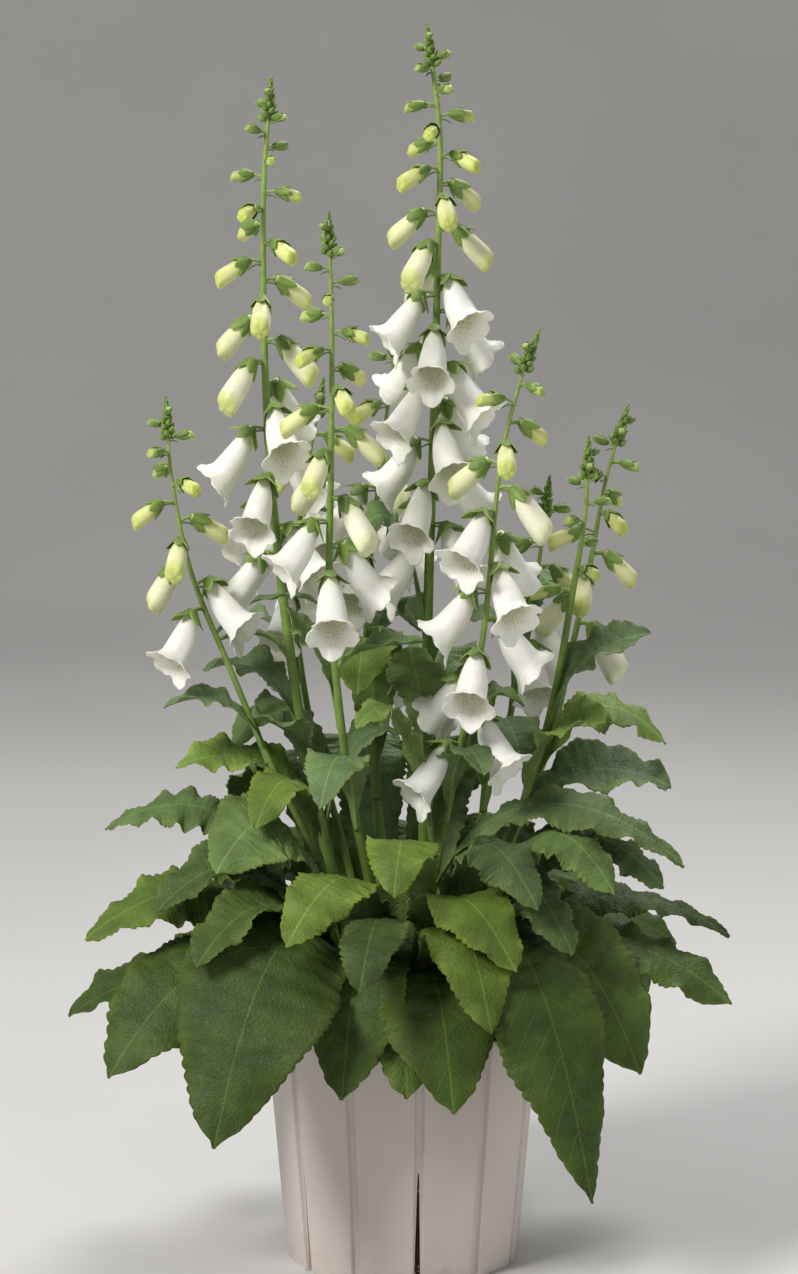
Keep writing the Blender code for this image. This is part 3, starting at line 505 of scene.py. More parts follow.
# One flower: where its stalk leaves the stem, the way it points, and its growth from 0, a bud just
# formed, to 1, an open bell.
Flower = namedtuple("Flower", "root axis growth stalk")

GOLDEN_TURN = 137.5
CROWDING = 0.42
FACING = 0.86
OPEN_GROWTH = 0.985
GREEN_BUD = 0.42
LARGE_BUD = 0.75
# (growth, corolla length, corolla radius, sepal length, stalk length, angle below level)
GROWTH_STAGES = [
    (0.00, 0.0045, 0.0016, 0.0040, 0.0020, -50),
    (0.20, 0.0095, 0.0027, 0.0070, 0.0040, -22),
    (0.42, 0.0165, 0.0041, 0.0105, 0.0065, 4),
    (0.60, 0.0250, 0.0058, 0.0135, 0.0080, 22),
    (0.80, 0.0370, 0.0080, 0.0150, 0.0088, 40),
    (0.95, 0.0470, 0.0100, 0.0155, 0.0090, 50),
    (1.00, 0.0500, 0.0130, 0.0150, 0.0090, 54),
]


def stage(growth):
    """Corolla length and radius, sepal length, stalk length and droop at a growth."""
    for low, high in zip(GROWTH_STAGES, GROWTH_STAGES[1:]):
        if growth <= high[0]:
            share = (growth - low[0]) / (high[0] - low[0])
            return [a + (b - a) * share for a, b in zip(low[1:], high[1:])]
    return list(GROWTH_STAGES[-1][1:])


def flower_plan(spike):
    """Every flower of a spike, lowest first: a spiral that leans towards the front."""
    plan = []
    for number in range(spike.flowers):
        share = number / spike.flowers
        risen = share * (1 + CROWDING) - CROWDING * share * share
        height = spike.low + (tip_height(spike) - spike.low) * risen
        closing = (share - spike.open) / (1 - spike.open)
        growth = spike.ripest * (1 if closing <= 0 else (1 - closing) ** 0.85 * 0.95)
        around = (spike.turn + number * GOLDEN_TURN + 180) % 360 - 180
        plan.append((height, around * FACING, max(growth, 0.05)))
    return plan


def flower_at(spike, height, around, growth, droop_more):
    """The flower at a height and bearing of a stem."""
    stalk, droop = stage(growth)[3:]
    root, along = at_height(PATHS[spike.name], height)
    out = bearing(around)
    out = (out - along * out.dot(along)).normalized()
    down = math.radians(droop + droop_more)
    axis = out * math.cos(down) - UP * math.sin(down)
    lift = (out + UP * 0.25).normalized()
    girth = stem_girth(spike, height)
    base = root + lift * (girth + stalk)
    return Flower(root - lift * (girth * 0.5), axis.normalized(), growth, base)


def flower_frame(flower):
    """Axis, and the two directions across it: the second one points down."""
    side = flower.axis.cross(UP).normalized()
    return flower.axis, side, flower.axis.cross(side).normalized()


BELL_LOBES = 5
LIP_REACH = 0.10
NOTCH = (0.93, 1.06)
LOBE = (1.05, 1.43)


def ring_of(flower, share, radius, count, twist=0.0, lip=0.0):
    """A ring of points round the flower's axis, the first one on its lower side."""
    axis, side, down = flower_frame(flower)
    length = stage(flower.growth)[0]
    points = []
    for k in range(count):
        angle = math.tau * k / count + twist
        out = down * math.cos(angle) + side * math.sin(angle)
        reach = length * (share + lip * math.cos(angle))
        points.append(flower.stalk + axis * reach + out * radius)
    return points


def bell_mouth(flower, inset):
    """The lobed mouth of an open bell: five lobes that flare out, and a notch after each one."""
    radius = stage(flower.growth)[1]
    lobes = ring_of(flower, LOBE[0], radius * LOBE[1] - inset, BELL_LOBES, 0.0, LIP_REACH)
    notches = ring_of(flower, NOTCH[0], radius * NOTCH[1] - inset, BELL_LOBES, math.pi / BELL_LOBES,
                      LIP_REACH)
    return [point for pair in zip(lobes, notches) for point in pair]


def flower_shape(flower):
    """A flower as one closed shape: its stalk, the collar of sepals, and the bud or bell."""
    length, radius, sepal, _, _ = stage(flower.growth)
    if flower.growth <= GREEN_BUD:
        widest = ring_of(flower, 0.45, radius * 1.3, 4)
        return bridged([[flower.root], widest, ring_of(flower, 1, 0, 1)])
    sides = BELL_LOBES if flower.growth > LARGE_BUD else 4
    collar = sepal * 0.75 / length
    rings = [[flower.root], ring_of(flower, 0.0, 0.0016, sides),
             ring_of(flower, collar, radius * 0.60 + 0.0022, sides)]
    if flower.growth < OPEN_GROWTH:
        return bridged(rings + [ring_of(flower, 0.80, radius * 0.88, sides), ring_of(flower, 1, 0, 1)])
    rings += [bell_mouth(flower, 0), bell_mouth(flower, PETAL)]
    return bridged(rings + [ring_of(flower, 0.22, 0, 1)])


def bridged(rings):
    """Rings of points, each joined to the next. The first and last are single points."""
    points, faces = [], []
    for ring, after in zip(rings, rings[1:] + [[]]):
        start = len(points)
        points += ring
        if after:
            faces += joined_rings(start, len(ring), start + len(ring), len(after))
    return points, faces


def joined_rings(a, count_a, b, count_b):
    """The triangles between two rings whose counts are alike, or the second is double, or one is 1."""
    if count_b == 1:
        return [(a + k, b, a + (k + 1) % count_a) for k in range(count_a)]
    if count_a == 1:
        return [(a, b + k, b + (k + 1) % count_b) for k in range(count_b)]
    faces = []
    for k in range(count_a):
        n = (k + 1) % count_a
        if count_a == count_b:
            faces += [(a + k, b + k, b + n), (a + k, b + n, a + n)]
        else:
            before, here, notch = b + (2 * k - 1) % count_b, b + 2 * k, b + 2 * k + 1
            faces += [(a + k, before, here), (a + k, here, notch), (a + k, notch, a + n)]
    return faces


# A leaf's midrib is an arch from its root out along a bearing. apex and tip are heights above the
# root. cup lifts the edges, or lowers them if it is below 0. sway bends the leaf sideways, and roll
# turns its upper face towards the front, in degrees.
Leaf = namedtuple("Leaf", "root bearing reach apex tip width cup sway roll seed")

# How far out, as shares of the reach, the arch ends its rise and starts its fall.
RISE_SHARE = 0.22
FALL_SHARE = 0.64


def leaf_midrib(leaf, t):
    """The midrib's point at a share of its length, on a cubic curve."""
    rise = (leaf.apex - leaf.tip / 8) / 0.75
    out = bearing(leaf.bearing)
    across = Vector((-out.y, out.x, 0))
    ends = (0.0, RISE_SHARE * leaf.reach, FALL_SHARE * leaf.reach, leaf.reach)
    heights = (0.0, rise, rise, leaf.tip)
    shares = ((1 - t) ** 3, 3 * t * (1 - t) ** 2, 3 * t * t * (1 - t), t ** 3)
    level = sum(a * b for a, b in zip(ends, shares))
    height = sum(a * b for a, b in zip(heights, shares))
    return leaf.root + out * level + UP * height + across * (leaf.sway * t * t)


PETIOLE_WIDTH = 0.115
BLADE_WIDTH = 0.92
BLADE_START = 0.08
BROAD = 0.050
BLUNT_TIP = 0.58
SHARP_TIP = 0.75
WIDEST_AT = 1.2
FOLD_CURVE = 1.4
MOST_FOLD = 1.2
WAVE_HEIGHT = 0.16
WAVES = 2.4


def leaf_half_width(leaf, t):
    """Half the blade's width: a winged stalk, the widest part past the middle, and a pointed end."""
    swell = min(max((t - BLADE_START) / (1 - BLADE_START), 0.0), 1.0)
    tip = BLUNT_TIP if leaf.width > BROAD else SHARP_TIP
    blade = max(math.sin(math.pi * swell ** WIDEST_AT), 0.0) ** tip
    return leaf.width / 2 * max(PETIOLE_WIDTH * (1 - t) ** 0.5 + BLADE_WIDTH * blade, 0.05)


def leaf_frame(leaf, t):
    """The midrib's point, and the blade's directions across it and out of its upper face."""
    step = 0.01
    before, after = leaf_midrib(leaf, max(t - step, 0)), leaf_midrib(leaf, min(t + step, 1))
    along = (after - before).normalized()
    out = bearing(leaf.bearing)
    level = Vector((-out.y, out.x, 0))
    across = (level - along * level.dot(along)).normalized()
    face = along.cross(across)
    turn = math.radians(leaf.roll) * min(1, 2.5 * t) * (1 if across.y <= 0 else -1)
    rolled = face * math.cos(turn) + across * math.sin(turn)
    return leaf_midrib(leaf, t), across * math.cos(turn) - face * math.sin(turn), rolled


def leaf_point(leaf, t, u):
    """A point of the blade: t along the midrib, and u across it from -1 to 1."""
    middle, across, face = leaf_frame(leaf, t)
    half = leaf_half_width(leaf, t)
    fold = leaf.cup * abs(u) ** FOLD_CURVE
    wave = WAVE_HEIGHT * u * u * math.sin(math.tau * WAVES * t + leaf.seed + 1.9 * math.copysign(1, u))
    wave *= min(1, 3 * t)
    out = u * half * math.cos(min(abs(fold), MOST_FOLD))
    return middle + across * out + face * (half * (fold + wave))


TOOTH = 0.09
NARROW = 0.034
STEP_LENGTH = 0.075


def leaf_mesh(leaf, start=0.0):
    """A toothed blade of even thickness, its two faces split into triangles alike. A longer leaf has
    more steps, so that its teeth stay alike."""
    steps = 4 + min(2, int((leaf.reach + abs(leaf.tip)) / STEP_LENGTH))
    columns = (-1, 0, 1) if leaf.width > NARROW else (-1, 1)
    top, bottom = [], []
    for step in range(steps + 1):
        t = start + (1 - start) * step / steps
        face = leaf_frame(leaf, t)[2]
        tooth = TOOTH * (1 if step % 2 else -1) if 1 < step < steps else 0
        for u in columns:
            point = leaf_point(leaf, t, u * (1 + tooth))
            top.append(point + face * (BLADE / 2))
            bottom.append(point - face * (BLADE / 2))
    return top + bottom, slab_faces(steps + 1, len(columns))


def slab_faces(rows, columns):
    """The triangles of a closed slab: a grid of points, and a second one under it."""
    under = rows * columns
    faces = []
    for row in range(rows - 1):
        for column in range(columns - 1):
            a = row * columns + column
            for one, two, three in ((a, a + columns + 1, a + 1), (a, a + columns, a + columns + 1)):
                faces += [(one, two, three), (under + three, under + two, under + one)]
    edge = [row * columns for row in range(rows)]
    edge += [(rows - 1) * columns + column for column in range(1, columns)]
    edge += [row * columns + columns - 1 for row in range(rows - 2, -1, -1)]
    edge += list(range(columns - 2, 0, -1))
    for a, b in zip(edge, edge[1:] + edge[:1]):
        faces += [(a, under + b, b), (a, under + a, under + b)]
    return faces


# (bearing, reach, apex, tip, width, cup, sway, roll) of each large lower leaf of the front. Its root is
# on the ring.
LOWER_LEAVES = [
    (-36, 0.176, 0.098, -0.040, 0.106, -0.12, 0.004, 26),
    (38, 0.162, 0.090, -0.086, 0.078, -0.18, 0.000, 10),
    (11, 0.112, 0.066, -0.022, 0.080, -0.10, 0.004, 0),
    (-11, 0.100, 0.068, -0.026, 0.072, -0.10, 0.002, 0),
    (1, 0.090, 0.050, -0.016, 0.064, -0.10, 0.000, 0),
    (-62, 0.186, 0.070, -0.010, 0.074, -0.10, 0.000, 36),
    (61, 0.142, 0.084, -0.012, 0.088, -0.20, 0.000, 30),
    (77, 0.192, 0.070, 0.026, 0.062, -0.20, -0.008, 28),
    (-75, 0.188, 0.112, 0.084, 0.060, -0.20, 0.008, 24),
    (-52, 0.112, 0.168, 0.140, 0.076, -0.28, -0.004, 26),
    (26, 0.116, 0.104, 0.036, 0.064, -0.18, 0.004, 4),
    (-7, 0.132, 0.100, 0.062, 0.052, -0.15, -0.008, 0),
    (13, 0.104, 0.122, 0.078, 0.062, -0.12, 0.046, 0),
    (-20, 0.112, 0.136, 0.098, 0.058, -0.20, -0.044, 10),
    (40, 0.110, 0.128, 0.082, 0.060, -0.35, 0.004, 14),
    (78, 0.142, 0.148, 0.116, 0.054, -0.30, 0.000, 24),
    (56, 0.126, 0.140, 0.104, 0.054, -0.30, 0.004, 20),
    (2, 0.088, 0.160, 0.132, 0.054, -0.20, -0.012, 0),
    (27, 0.098, 0.156, 0.118, 0.054, -0.30, 0.030, 8),
    (-64, 0.140, 0.132, 0.108, 0.056, 0.20, -0.006, 18),
    (-52, 0.152, 0.104, 0.072, 0.056, 0.22, 0.004, 10),
    (-44, 0.132, 0.078, 0.046, 0.050, 0.20, -0.004, 10),
    (-86, 0.196, 0.050, 0.014, 0.052, 0.15, 0.010, 20),
    (24, 0.126, 0.066, -0.004, 0.056, -0.12, 0.000, 0),
    (90, 0.192, 0.098, 0.068, 0.036, -0.20, 0.006, 20),
    (101, 0.166, 0.078, 0.048, 0.058, -0.10, 0.000, 26),
    (-92, 0.170, 0.160, 0.150, 0.052, -0.16, -0.006, 16),
    (-103, 0.142, 0.116, 0.090, 0.052, -0.10, -0.004, 10),
]

# (height, bearing, reach, apex, tip, width, cup, sway, roll) of each leaf that grows on a stem.
STEM_LEAVES = {
    "left_tall": [
        (0.462, -92, 0.056, 0.028, 0.022, 0.018, 0.10, 0.000, 0),
        (0.400, -118, 0.092, 0.050, 0.044, 0.040, 0.25, -0.006, 10),
        (0.345, -50, 0.066, 0.062, 0.080, 0.048, 0.25, 0.000, 10),
        (0.300, -78, 0.118, 0.082, 0.080, 0.048, 0.12, 0.004, 20),
        (0.330, 120, 0.090, 0.070, 0.050, 0.044, 0.10, 0.000, 0),
    ],
    "left_low": [
        (0.385, -90, 0.080, 0.048, 0.044, 0.030, 0.20, 0.004, 10),
        (0.310, -30, 0.090, 0.070, 0.040, 0.046, -0.10, 0.000, 10),
    ],
    "left_front": [
        (0.505, -88, 0.060, 0.014, 0.008, 0.016, 0.10, 0.002, 0),
        (0.465, 78, 0.066, 0.036, 0.040, 0.030, 0.30, 0.004, 10),
        (0.418, -112, 0.044, 0.060, 0.088, 0.038, 0.12, 0.000, 0),
        (0.340, -20, 0.078, 0.062, 0.030, 0.046, -0.12, 0.000, 0),
    ],
    "centre_tall": [
        (0.478, -82, 0.066, 0.046, 0.010, 0.038, -0.12, 0.004, 20),
        (0.450, 60, 0.075, 0.048, 0.030, 0.036, 0.10, 0.000, 0),
        (0.380, -22, 0.040, 0.066, 0.096, 0.046, 0.10, 0.000, 0),
        (0.370, 165, 0.100, 0.090, 0.050, 0.050, 0.05, 0.000, 0),
        (0.330, 30, 0.050, 0.080, 0.110, 0.046, 0.20, 0.000, 0),
    ],
    "right_front": [
        (0.310, -48, 0.086, 0.090, 0.086, 0.034, -0.10, 0.008, 10),
        (0.300, 84, 0.186, 0.062, 0.016, 0.044, -0.15, 0.004, 26),
        (0.345, 30, 0.056, 0.060, 0.046, 0.040, 0.15, 0.000, 0),
        (0.395, 100, 0.050, 0.046, 0.038, 0.034, 0.20, 0.000, 10),
    ],
    "right_low": [
        (0.405, 82, 0.078, 0.062, 0.078, 0.046, 0.22, 0.004, 26),
        (0.350, 58, 0.070, 0.062, 0.070, 0.056, 0.25, 0.000, 20),
        (0.320, 92, 0.126, 0.056, 0.044, 0.056, 0.18, 0.002, 26),
    ],
    "right_outer": [
        (0.350, 96, 0.105, 0.066, 0.036, 0.046, -0.16, 0.000, 26),
        (0.400, 160, 0.080, 0.060, 0.040, 0.042, 0.10, 0.000, 0),
    ],
    "centre_back": [
        (0.430, 150, 0.085, 0.060, 0.030, 0.040, 0.10, 0.000, 0),
        (0.340, -16, 0.082, 0.085, 0.050, 0.056, 0.00, 0.000, 0),
    ],
    "right_back": [
        (0.400, 100, 0.070, 0.060, 0.030, 0.040, 0.10, 0.000, 10),
        (0.330, 24, 0.090, 0.080, 0.050, 0.056, -0.10, 0.000, 0),
    ],
    "left_back": [
        (0.430, -110, 0.075, 0.050, 0.034, 0.038, 0.10, 0.000, 0),
        (0.340, -26, 0.086, 0.080, 0.050, 0.056, -0.10, 0.000, 0),
    ],
}

RING_RADIUS = 0.058
RING_TUBE = 0.010
RING_LUMP = 0.15
RING_SEGMENTS = 12
BACK_LEAVES = 11
BACK_SPAN = (108, 262)
SEED = 11


def ring_shape():
    """The ring of leaf bases: half a torus that lies flat on the soil."""
    section = [(1.0, 0.0), (0.6, 0.95), (-0.6, 0.95), (-1.0, 0.0)]
    points = []
    for k in range(RING_SEGMENTS):
        out = bearing(360 * k / RING_SEGMENTS)
        lump = 1 + RING_LUMP * (k % 2)
        for across, height in section:
            level = SOIL_TOP + FIT_GAP + RING_TUBE * height * lump
            points.append(out * (RING_RADIUS + RING_TUBE * across) + UP * level)
    return points, ring_faces(RING_SEGMENTS, len(section), loop=True)


def lower_leaves():
    """The large leaves from the ring: those of the front as listed, and those of the back by a rule."""
    rows = list(LOWER_LEAVES)
    draw = random.Random(SEED)
    low, high = BACK_SPAN
    for number in range(BACK_LEAVES):
        share = (number + 0.5) / BACK_LEAVES
        layer = number % 3
        rows.append((
            low + (high - low) * share + draw.uniform(-3, 3),
            draw.uniform(0.170, 0.195) - 0.038 * layer,
            draw.uniform(0.075, 0.095) + 0.052 * layer,
            draw.uniform(-0.050, 0.000) + 0.076 * layer,
            draw.uniform(0.066, 0.084) - 0.006 * layer,
            draw.uniform(-0.25, 0.05),
            draw.uniform(-0.008, 0.008),
            0,
        ))
    leaves = []
    for number, (around, *form) in enumerate(rows):
        root = bearing(around) * RING_RADIUS + UP * (SOIL_TOP + RING_TUBE * 0.6)
        leaves.append(Leaf(root, around, *form, 0.7 * number))
    return leaves


def stem_leaves():
    """(stem name, leaf) of each leaf that grows on a stem, its root in the middle of the stem."""
    rows = [(name, row) for name, rows in STEM_LEAVES.items() for row in rows]
    leaves = []
    for number, (name, (height, around, *form)) in enumerate(rows):
        root, _ = at_height(PATHS[name], height)
        leaves.append((name, Leaf(root, around, *form, 1.3 * number)))
    return leaves


TURN_STEP = 6
LIFT_STEP = 0.008
FLOWER_TRIES = [(0, 0)] + [(turn, more) for turn in (12, -12, 24, -24, 38, -38, 54, -54, 75, -75)
                           for more in (0, 10, -10)]
LEAF_TRIES = sorted(
    ((turn, lift) for turn in (0, 6, -6, 12, -12, 18, -18, 25, -25, 33, -33)
     for lift in (0, 0.010, -0.010, 0.020, -0.020, 0.032, 0.045)),
    key=lambda trial: abs(trial[0]) / TURN_STEP + abs(trial[1]) / LIFT_STEP,
)


LOWER_NODE = "lower_leaves"
STALK_SHARE = 0.3

# A placed shape: its owner, the whole shape, its box, and the part that its own siblings avoid.
Placed = namedtuple("Placed", "owner tree points low high own")


class Room:
    """What has been placed so far. It says whether a new shape keeps clear of it."""

    def __init__(self):
        self.placed = []

    def add(self, owner, shape, own=None):
        low, high = self.box(shape)
        own_tree = BVHTree.FromPolygons(*own) if own else None
        self.placed.append(Placed(owner, BVHTree.FromPolygons(*shape), shape[0], low, high, own_tree))

    @staticmethod
    def box(shape):
        low = Vector(min(p[k] for p in shape[0]) - CLEARANCE for k in range(3))
        high = Vector(max(p[k] for p in shape[0]) + CLEARANCE for k in range(3))
        return low, high

    def near(self, shape):
        low, high = self.box(shape)
        return [p for p in self.placed
                if all(low[k] <= p.high[k] and high[k] >= p.low[k] for k in range(3))]

    def meets_others(self, owner, shape):
        """Whether the shape crosses or nearly touches another body."""
        tree = BVHTree.FromPolygons(*shape)
        for other in self.near(shape):
            if other.owner != owner and (
                    tree.overlap(other.tree)
                    or any(other.tree.find_nearest(p, CLEARANCE)[0] for p in shape[0])
                    or any(tree.find_nearest(p, CLEARANCE)[0] for p in other.points)):
                return True
        return False

    def meets_own(self, owner, shape):
        """Whether the shape crosses another flower or leaf of its own body."""
        tree = BVHTree.FromPolygons(*shape)
        return any(p.own and tree.overlap(p.own) for p in self.near(shape) if p.owner == owner)


def place_flowers(room, spike):
    """The flowers of a spike, each turned or drooped until it is clear, and left out if it can't be."""
    placed = []
    for height, around, growth in flower_plan(spike):
        for turn, more in FLOWER_TRIES:
            flower = flower_at(spike, height, around + turn, growth, more)
            shape = flower_shape(flower)
            if room.meets_others(spike.name, shape):
                continue
            if growth > GREEN_BUD and room.meets_own(spike.name, shape):
                continue
            room.add(spike.name, shape, shape)
            placed.append(flower)
            break
    return placed


def place_leaf(room, owner, leaf):
    """The leaf turned or lifted until it is clear of other bodies, and best of its own too."""
    spare = None
    for turn, lift in LEAF_TRIES:
        moved = leaf._replace(bearing=leaf.bearing + turn, apex=leaf.apex + lift, tip=leaf.tip + lift)
        if owner == LOWER_NODE:
            moved = moved._replace(root=bearing(moved.bearing) * RING_RADIUS + UP * leaf.root.z)
        if room.meets_others(owner, leaf_mesh(moved)):
            continue
        spare = spare or moved
        if not room.meets_own(owner, leaf_mesh(moved, STALK_SHARE)):
            spare = moved
            break
    if spare:
        room.add(owner, leaf_mesh(spare), leaf_mesh(spare, STALK_SHARE))
    return spare


def tub_shape():
    """The plain outside of the pot."""
    turns = [math.degrees(POT_TWIST) + 360 * k / POT_SIDES for k in range(POT_SIDES)]
    points = [bearing(turn) * pot_radius(z) + UP * z for z in (0, POT_HEIGHT) for turn in turns]
    return points, ring_faces(2, POT_SIDES)


def plant_plan():
    """Every flower and leaf where it ends up: (flowers by stem, leaves by stem, lower leaves)."""
    room = Room()
    for spike in SPIKES:
        room.add(spike.name, stem_shape(spike))
    room.add("pot", tub_shape())
    room.add(LOWER_NODE, ring_shape())
    flowers = {spike.name: place_flowers(room, spike) for spike in SPIKES}
    leaves = {spike.name: [] for spike in SPIKES}
    for name, leaf in stem_leaves():
        placed = place_leaf(room, name, leaf)
        if placed:
            leaves[name].append(placed)
    lower = [place_leaf(room, LOWER_NODE, leaf) for leaf in lower_leaves()]
    return flowers, leaves, [leaf for leaf in lower if leaf]


flowers_of, leaves_of, rosette = plant_plan()


# ---- Stems and stalks ------------------------------------------------------------------------------
# Each stem is round, faintly ridged and downy, green below and paler where it flowers. A short stalk
# carries each flower. Stems stand in holes in the soil, and end in a cone of tiny buds.

STEM_AROUND = 14
STEM_RIDGES = 5
RIDGE_HEIGHT = 0.045
STALK_AROUND = 8
STALK_STEPS = 7
STALK_RADIUS = 0.0011
CLUSTER_BUDS = 30
CLUSTER_HEIGHT = 0.026
CLUSTER_RADIUS = 0.0022
CLUSTER_POINT = 0.0035
TINY_BUD = 0.0075
STEM_GREEN = (0.165, 0.262, 0.045)
STEM_PALE = (0.255, 0.365, 0.078)
CALYX_GREEN = (0.110, 0.205, 0.026)
HAIRS_PER_METRE = 1200
HAIR_LENGTH = 0.0011
HAIR_RADII = (0.00007, 0.00001)
HAIR_GREEN = (0.420, 0.520, 0.260)


class Skin:
    """Gathers closed grids of points, each with a colour and a marking, and makes one piece of them."""

    def __init__(self):
        self.points, self.faces, self.tints, self.marks = [], [], [], []
        self.count = 0

    def add(self, grid, tint, mark=(0.0, 0.0, 0.0), slab=False, loop=False):
        """Adds rings of points as a closed tube. A slab's ends are sewn side to side, not capped, and
        the last ring of a loop meets the first."""
        rows, columns = grid.shape[:2]
        index = np.arange(rows * columns).reshape(rows, columns)
        rings = np.concatenate([index, index[:1]]) if loop else index
        after = np.roll(rings, -1, axis=1)
        quads = np.stack([rings[:-1], after[:-1], after[1:], rings[1:]], axis=-1).reshape(-1, 4)
        ends = [] if loop or slab else [index[0][::-1], index[-1]]
        if slab:
            half = columns // 2
            first, last = (np.stack([ring[:half - 1], ring[1:half], ring[::-1][1:half],
                                     ring[::-1][:half - 1]], -1) for ring in (index[0], index[-1]))
            quads = np.concatenate([quads, first[:, ::-1], last])
        flat = grid.reshape(-1, 3)
        a, b, c, d = (flat[quads[:, k]] - flat.mean(axis=0) for k in range(4))
        volume = np.sum(a * np.cross(b, c)) + np.sum(a * np.cross(c, d))
        if volume < 0:
            quads = quads[:, ::-1]
            ends = [ring[::-1] for ring in ends]
        self.faces.append((quads + self.count, [ring + self.count for ring in ends]))
        self.points.append(flat)
        self.tints.append(np.broadcast_to(np.asarray(tint, float), grid.shape).reshape(-1, 3))
        self.marks.append(np.broadcast_to(np.asarray(mark, float), grid.shape).reshape(-1, 3))
        self.count += len(flat)

    def make(self, name, finish, slot, *nodes):
        """Makes the piece, in place of the plain solids that it covers."""
        mesh = bpy.data.meshes.new(name)
        points = np.concatenate(self.points)
        quads = np.concatenate([quads for quads, _ in self.faces])
        ends = [ring for _, rings in self.faces for ring in rings]
        corners = np.concatenate([quads.ravel()] + ends)
        sizes = np.array([4] * len(quads) + [len(ring) for ring in ends])
        mesh.vertices.add(len(points))
        mesh.vertices.foreach_set("co", points.ravel())
        mesh.loops.add(len(corners))
        mesh.loops.foreach_set("vertex_index", corners)
        mesh.polygons.add(len(sizes))
        mesh.polygons.foreach_set("loop_start", np.cumsum(sizes) - sizes)
        mesh.update(calc_edges=True)
        mesh.shade_smooth()
        tints = mesh.color_attributes.new("tint", "FLOAT_COLOR", "POINT")
        tints.data.foreach_set("color", np.c_[np.concatenate(self.tints), np.ones(len(points))].ravel())
        marks = mesh.attributes.new("mark", "FLOAT_VECTOR", "POINT")
        marks.data.foreach_set("vector", np.concatenate(self.marks).ravel())
        mesh.validate()
        mesh.materials.append(finish)
        made = place_in_scene(name, mesh)
        if nodes:
            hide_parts(*nodes)
        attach(made, "root")


def array(vectors):
    return np.array([tuple(vector) for vector in vectors], float)


def unit(vectors):
    """The same directions, each at a length of 1."""
    return vectors / np.maximum(np.linalg.norm(vectors, axis=-1, keepdims=True), 1e-12)


def smooth(values, low, high):
    share = np.clip((np.asarray(values, float) - low) / (high - low), 0, 1)
    return share * share * (3 - 2 * share)


def hump(values):
    """0 at 0, 1 halfway and 0 at 1."""
    return np.maximum(np.sin(math.pi * np.clip(values, 0, 1)), 0)


def tinted(start, end, share):
    """Colours from start to end, by an array of shares."""
    share = np.asarray(share, float)[..., None]
    return np.asarray(start) * (1 - share) + np.asarray(end) * share


def turns_of(count):
    """Even angles round a ring, as a row."""
    return math.tau * np.arange(count)[None, :] / count


def rings_about(axes, along, wide, angle, sag=0.0):
    """Rings of points, by how far they lie along an axis, how far out from it and how far below it."""
    base, axis, down, side = axes
    return (base + along[..., None] * axis + (wide * np.cos(angle) + sag)[..., None] * down
            + (wide * np.sin(angle))[..., None] * side)


def round_tube(points, radii, around, ridges=0):
    """Rings of points about a path, turned no more than the path itself turns."""
    path = array(points)
    along = unit(np.gradient(path, axis=0))
    across = np.cross(along[0], (0.3, 1.0, 0.2))
    angles = turns_of(around)[0]
    ridged = 1 + RIDGE_HEIGHT * np.sin(ridges * angles)
    rings = []
    for place, way, radius in zip(path, along, radii):
        across = unit(across - way * across.dot(way))
        out = np.outer(np.cos(angles), across) + np.outer(np.sin(angles), np.cross(way, across))
        rings.append(place + out * (radius * ridged)[:, None])
    return np.array(rings)


def add_hairs(skin, draw, points, radii, length):
    """Short soft hairs that stand out all round a path."""
    for low, high, radius in zip(points, points[1:], radii):
        way = high - low
        number = way.length * HAIRS_PER_METRE
        for _ in range(int(number) + (draw.random() < number % 1)):
            out = way.cross(Vector([draw.gauss(0, 1) for _ in range(3)])).normalized()
            root = low + way * draw.random() + out * (radius * 0.9)
            lean = (out + way.normalized() * draw.uniform(-0.4, 0.4)).normalized()
            tip = root + lean * (length * draw.uniform(0.6, 1.2))
            skin.add(round_tube([root, tip], HAIR_RADII, 3), HAIR_GREEN)


def add_stem(skin, spike, draw):
    path = PATHS[spike.name]
    fine = [path[0]]
    for low, high in zip(path, path[1:]):
        fine += [low.lerp(high, 0.5), high]
    radii = [stem_girth(spike, point.z) for point in fine]
    pale = smooth([point.z for point in fine], spike.low - 0.05, tip_height(spike))[:, None]
    skin.add(round_tube(fine, radii, STEM_AROUND, STEM_RIDGES), tinted(STEM_GREEN, STEM_PALE, pale))
    bare = sum(point.z < SOIL_TOP + 0.02 for point in fine)
    add_hairs(skin, draw, fine[bare:], radii[bare:], HAIR_LENGTH)


def add_stalk(skin, flower, draw):
    """A flower's stalk: out of the stem, then over into the line of the flower, thicker at its end."""
    start, end = flower.root, flower.stalk + flower.axis * 0.0006
    rise = 0.18 * (flower.stalk - flower.root).length
    pull = start.lerp(end, 0.5) + UP * rise + (start - end).cross(UP).cross(UP) * 0.1
    shares = np.linspace(0, 1, STALK_STEPS)
    line = [start.lerp(pull, t).lerp(pull.lerp(end, t), t) for t in shares]
    radii = STALK_RADIUS * min(1.0, 0.45 + 0.65 * flower.growth) * (1 + 0.55 * smooth(shares, 0.6, 1.0))
    skin.add(round_tube(line, radii, STALK_AROUND), STEM_PALE)
    add_hairs(skin, draw, line, radii, 0.7 * HAIR_LENGTH)


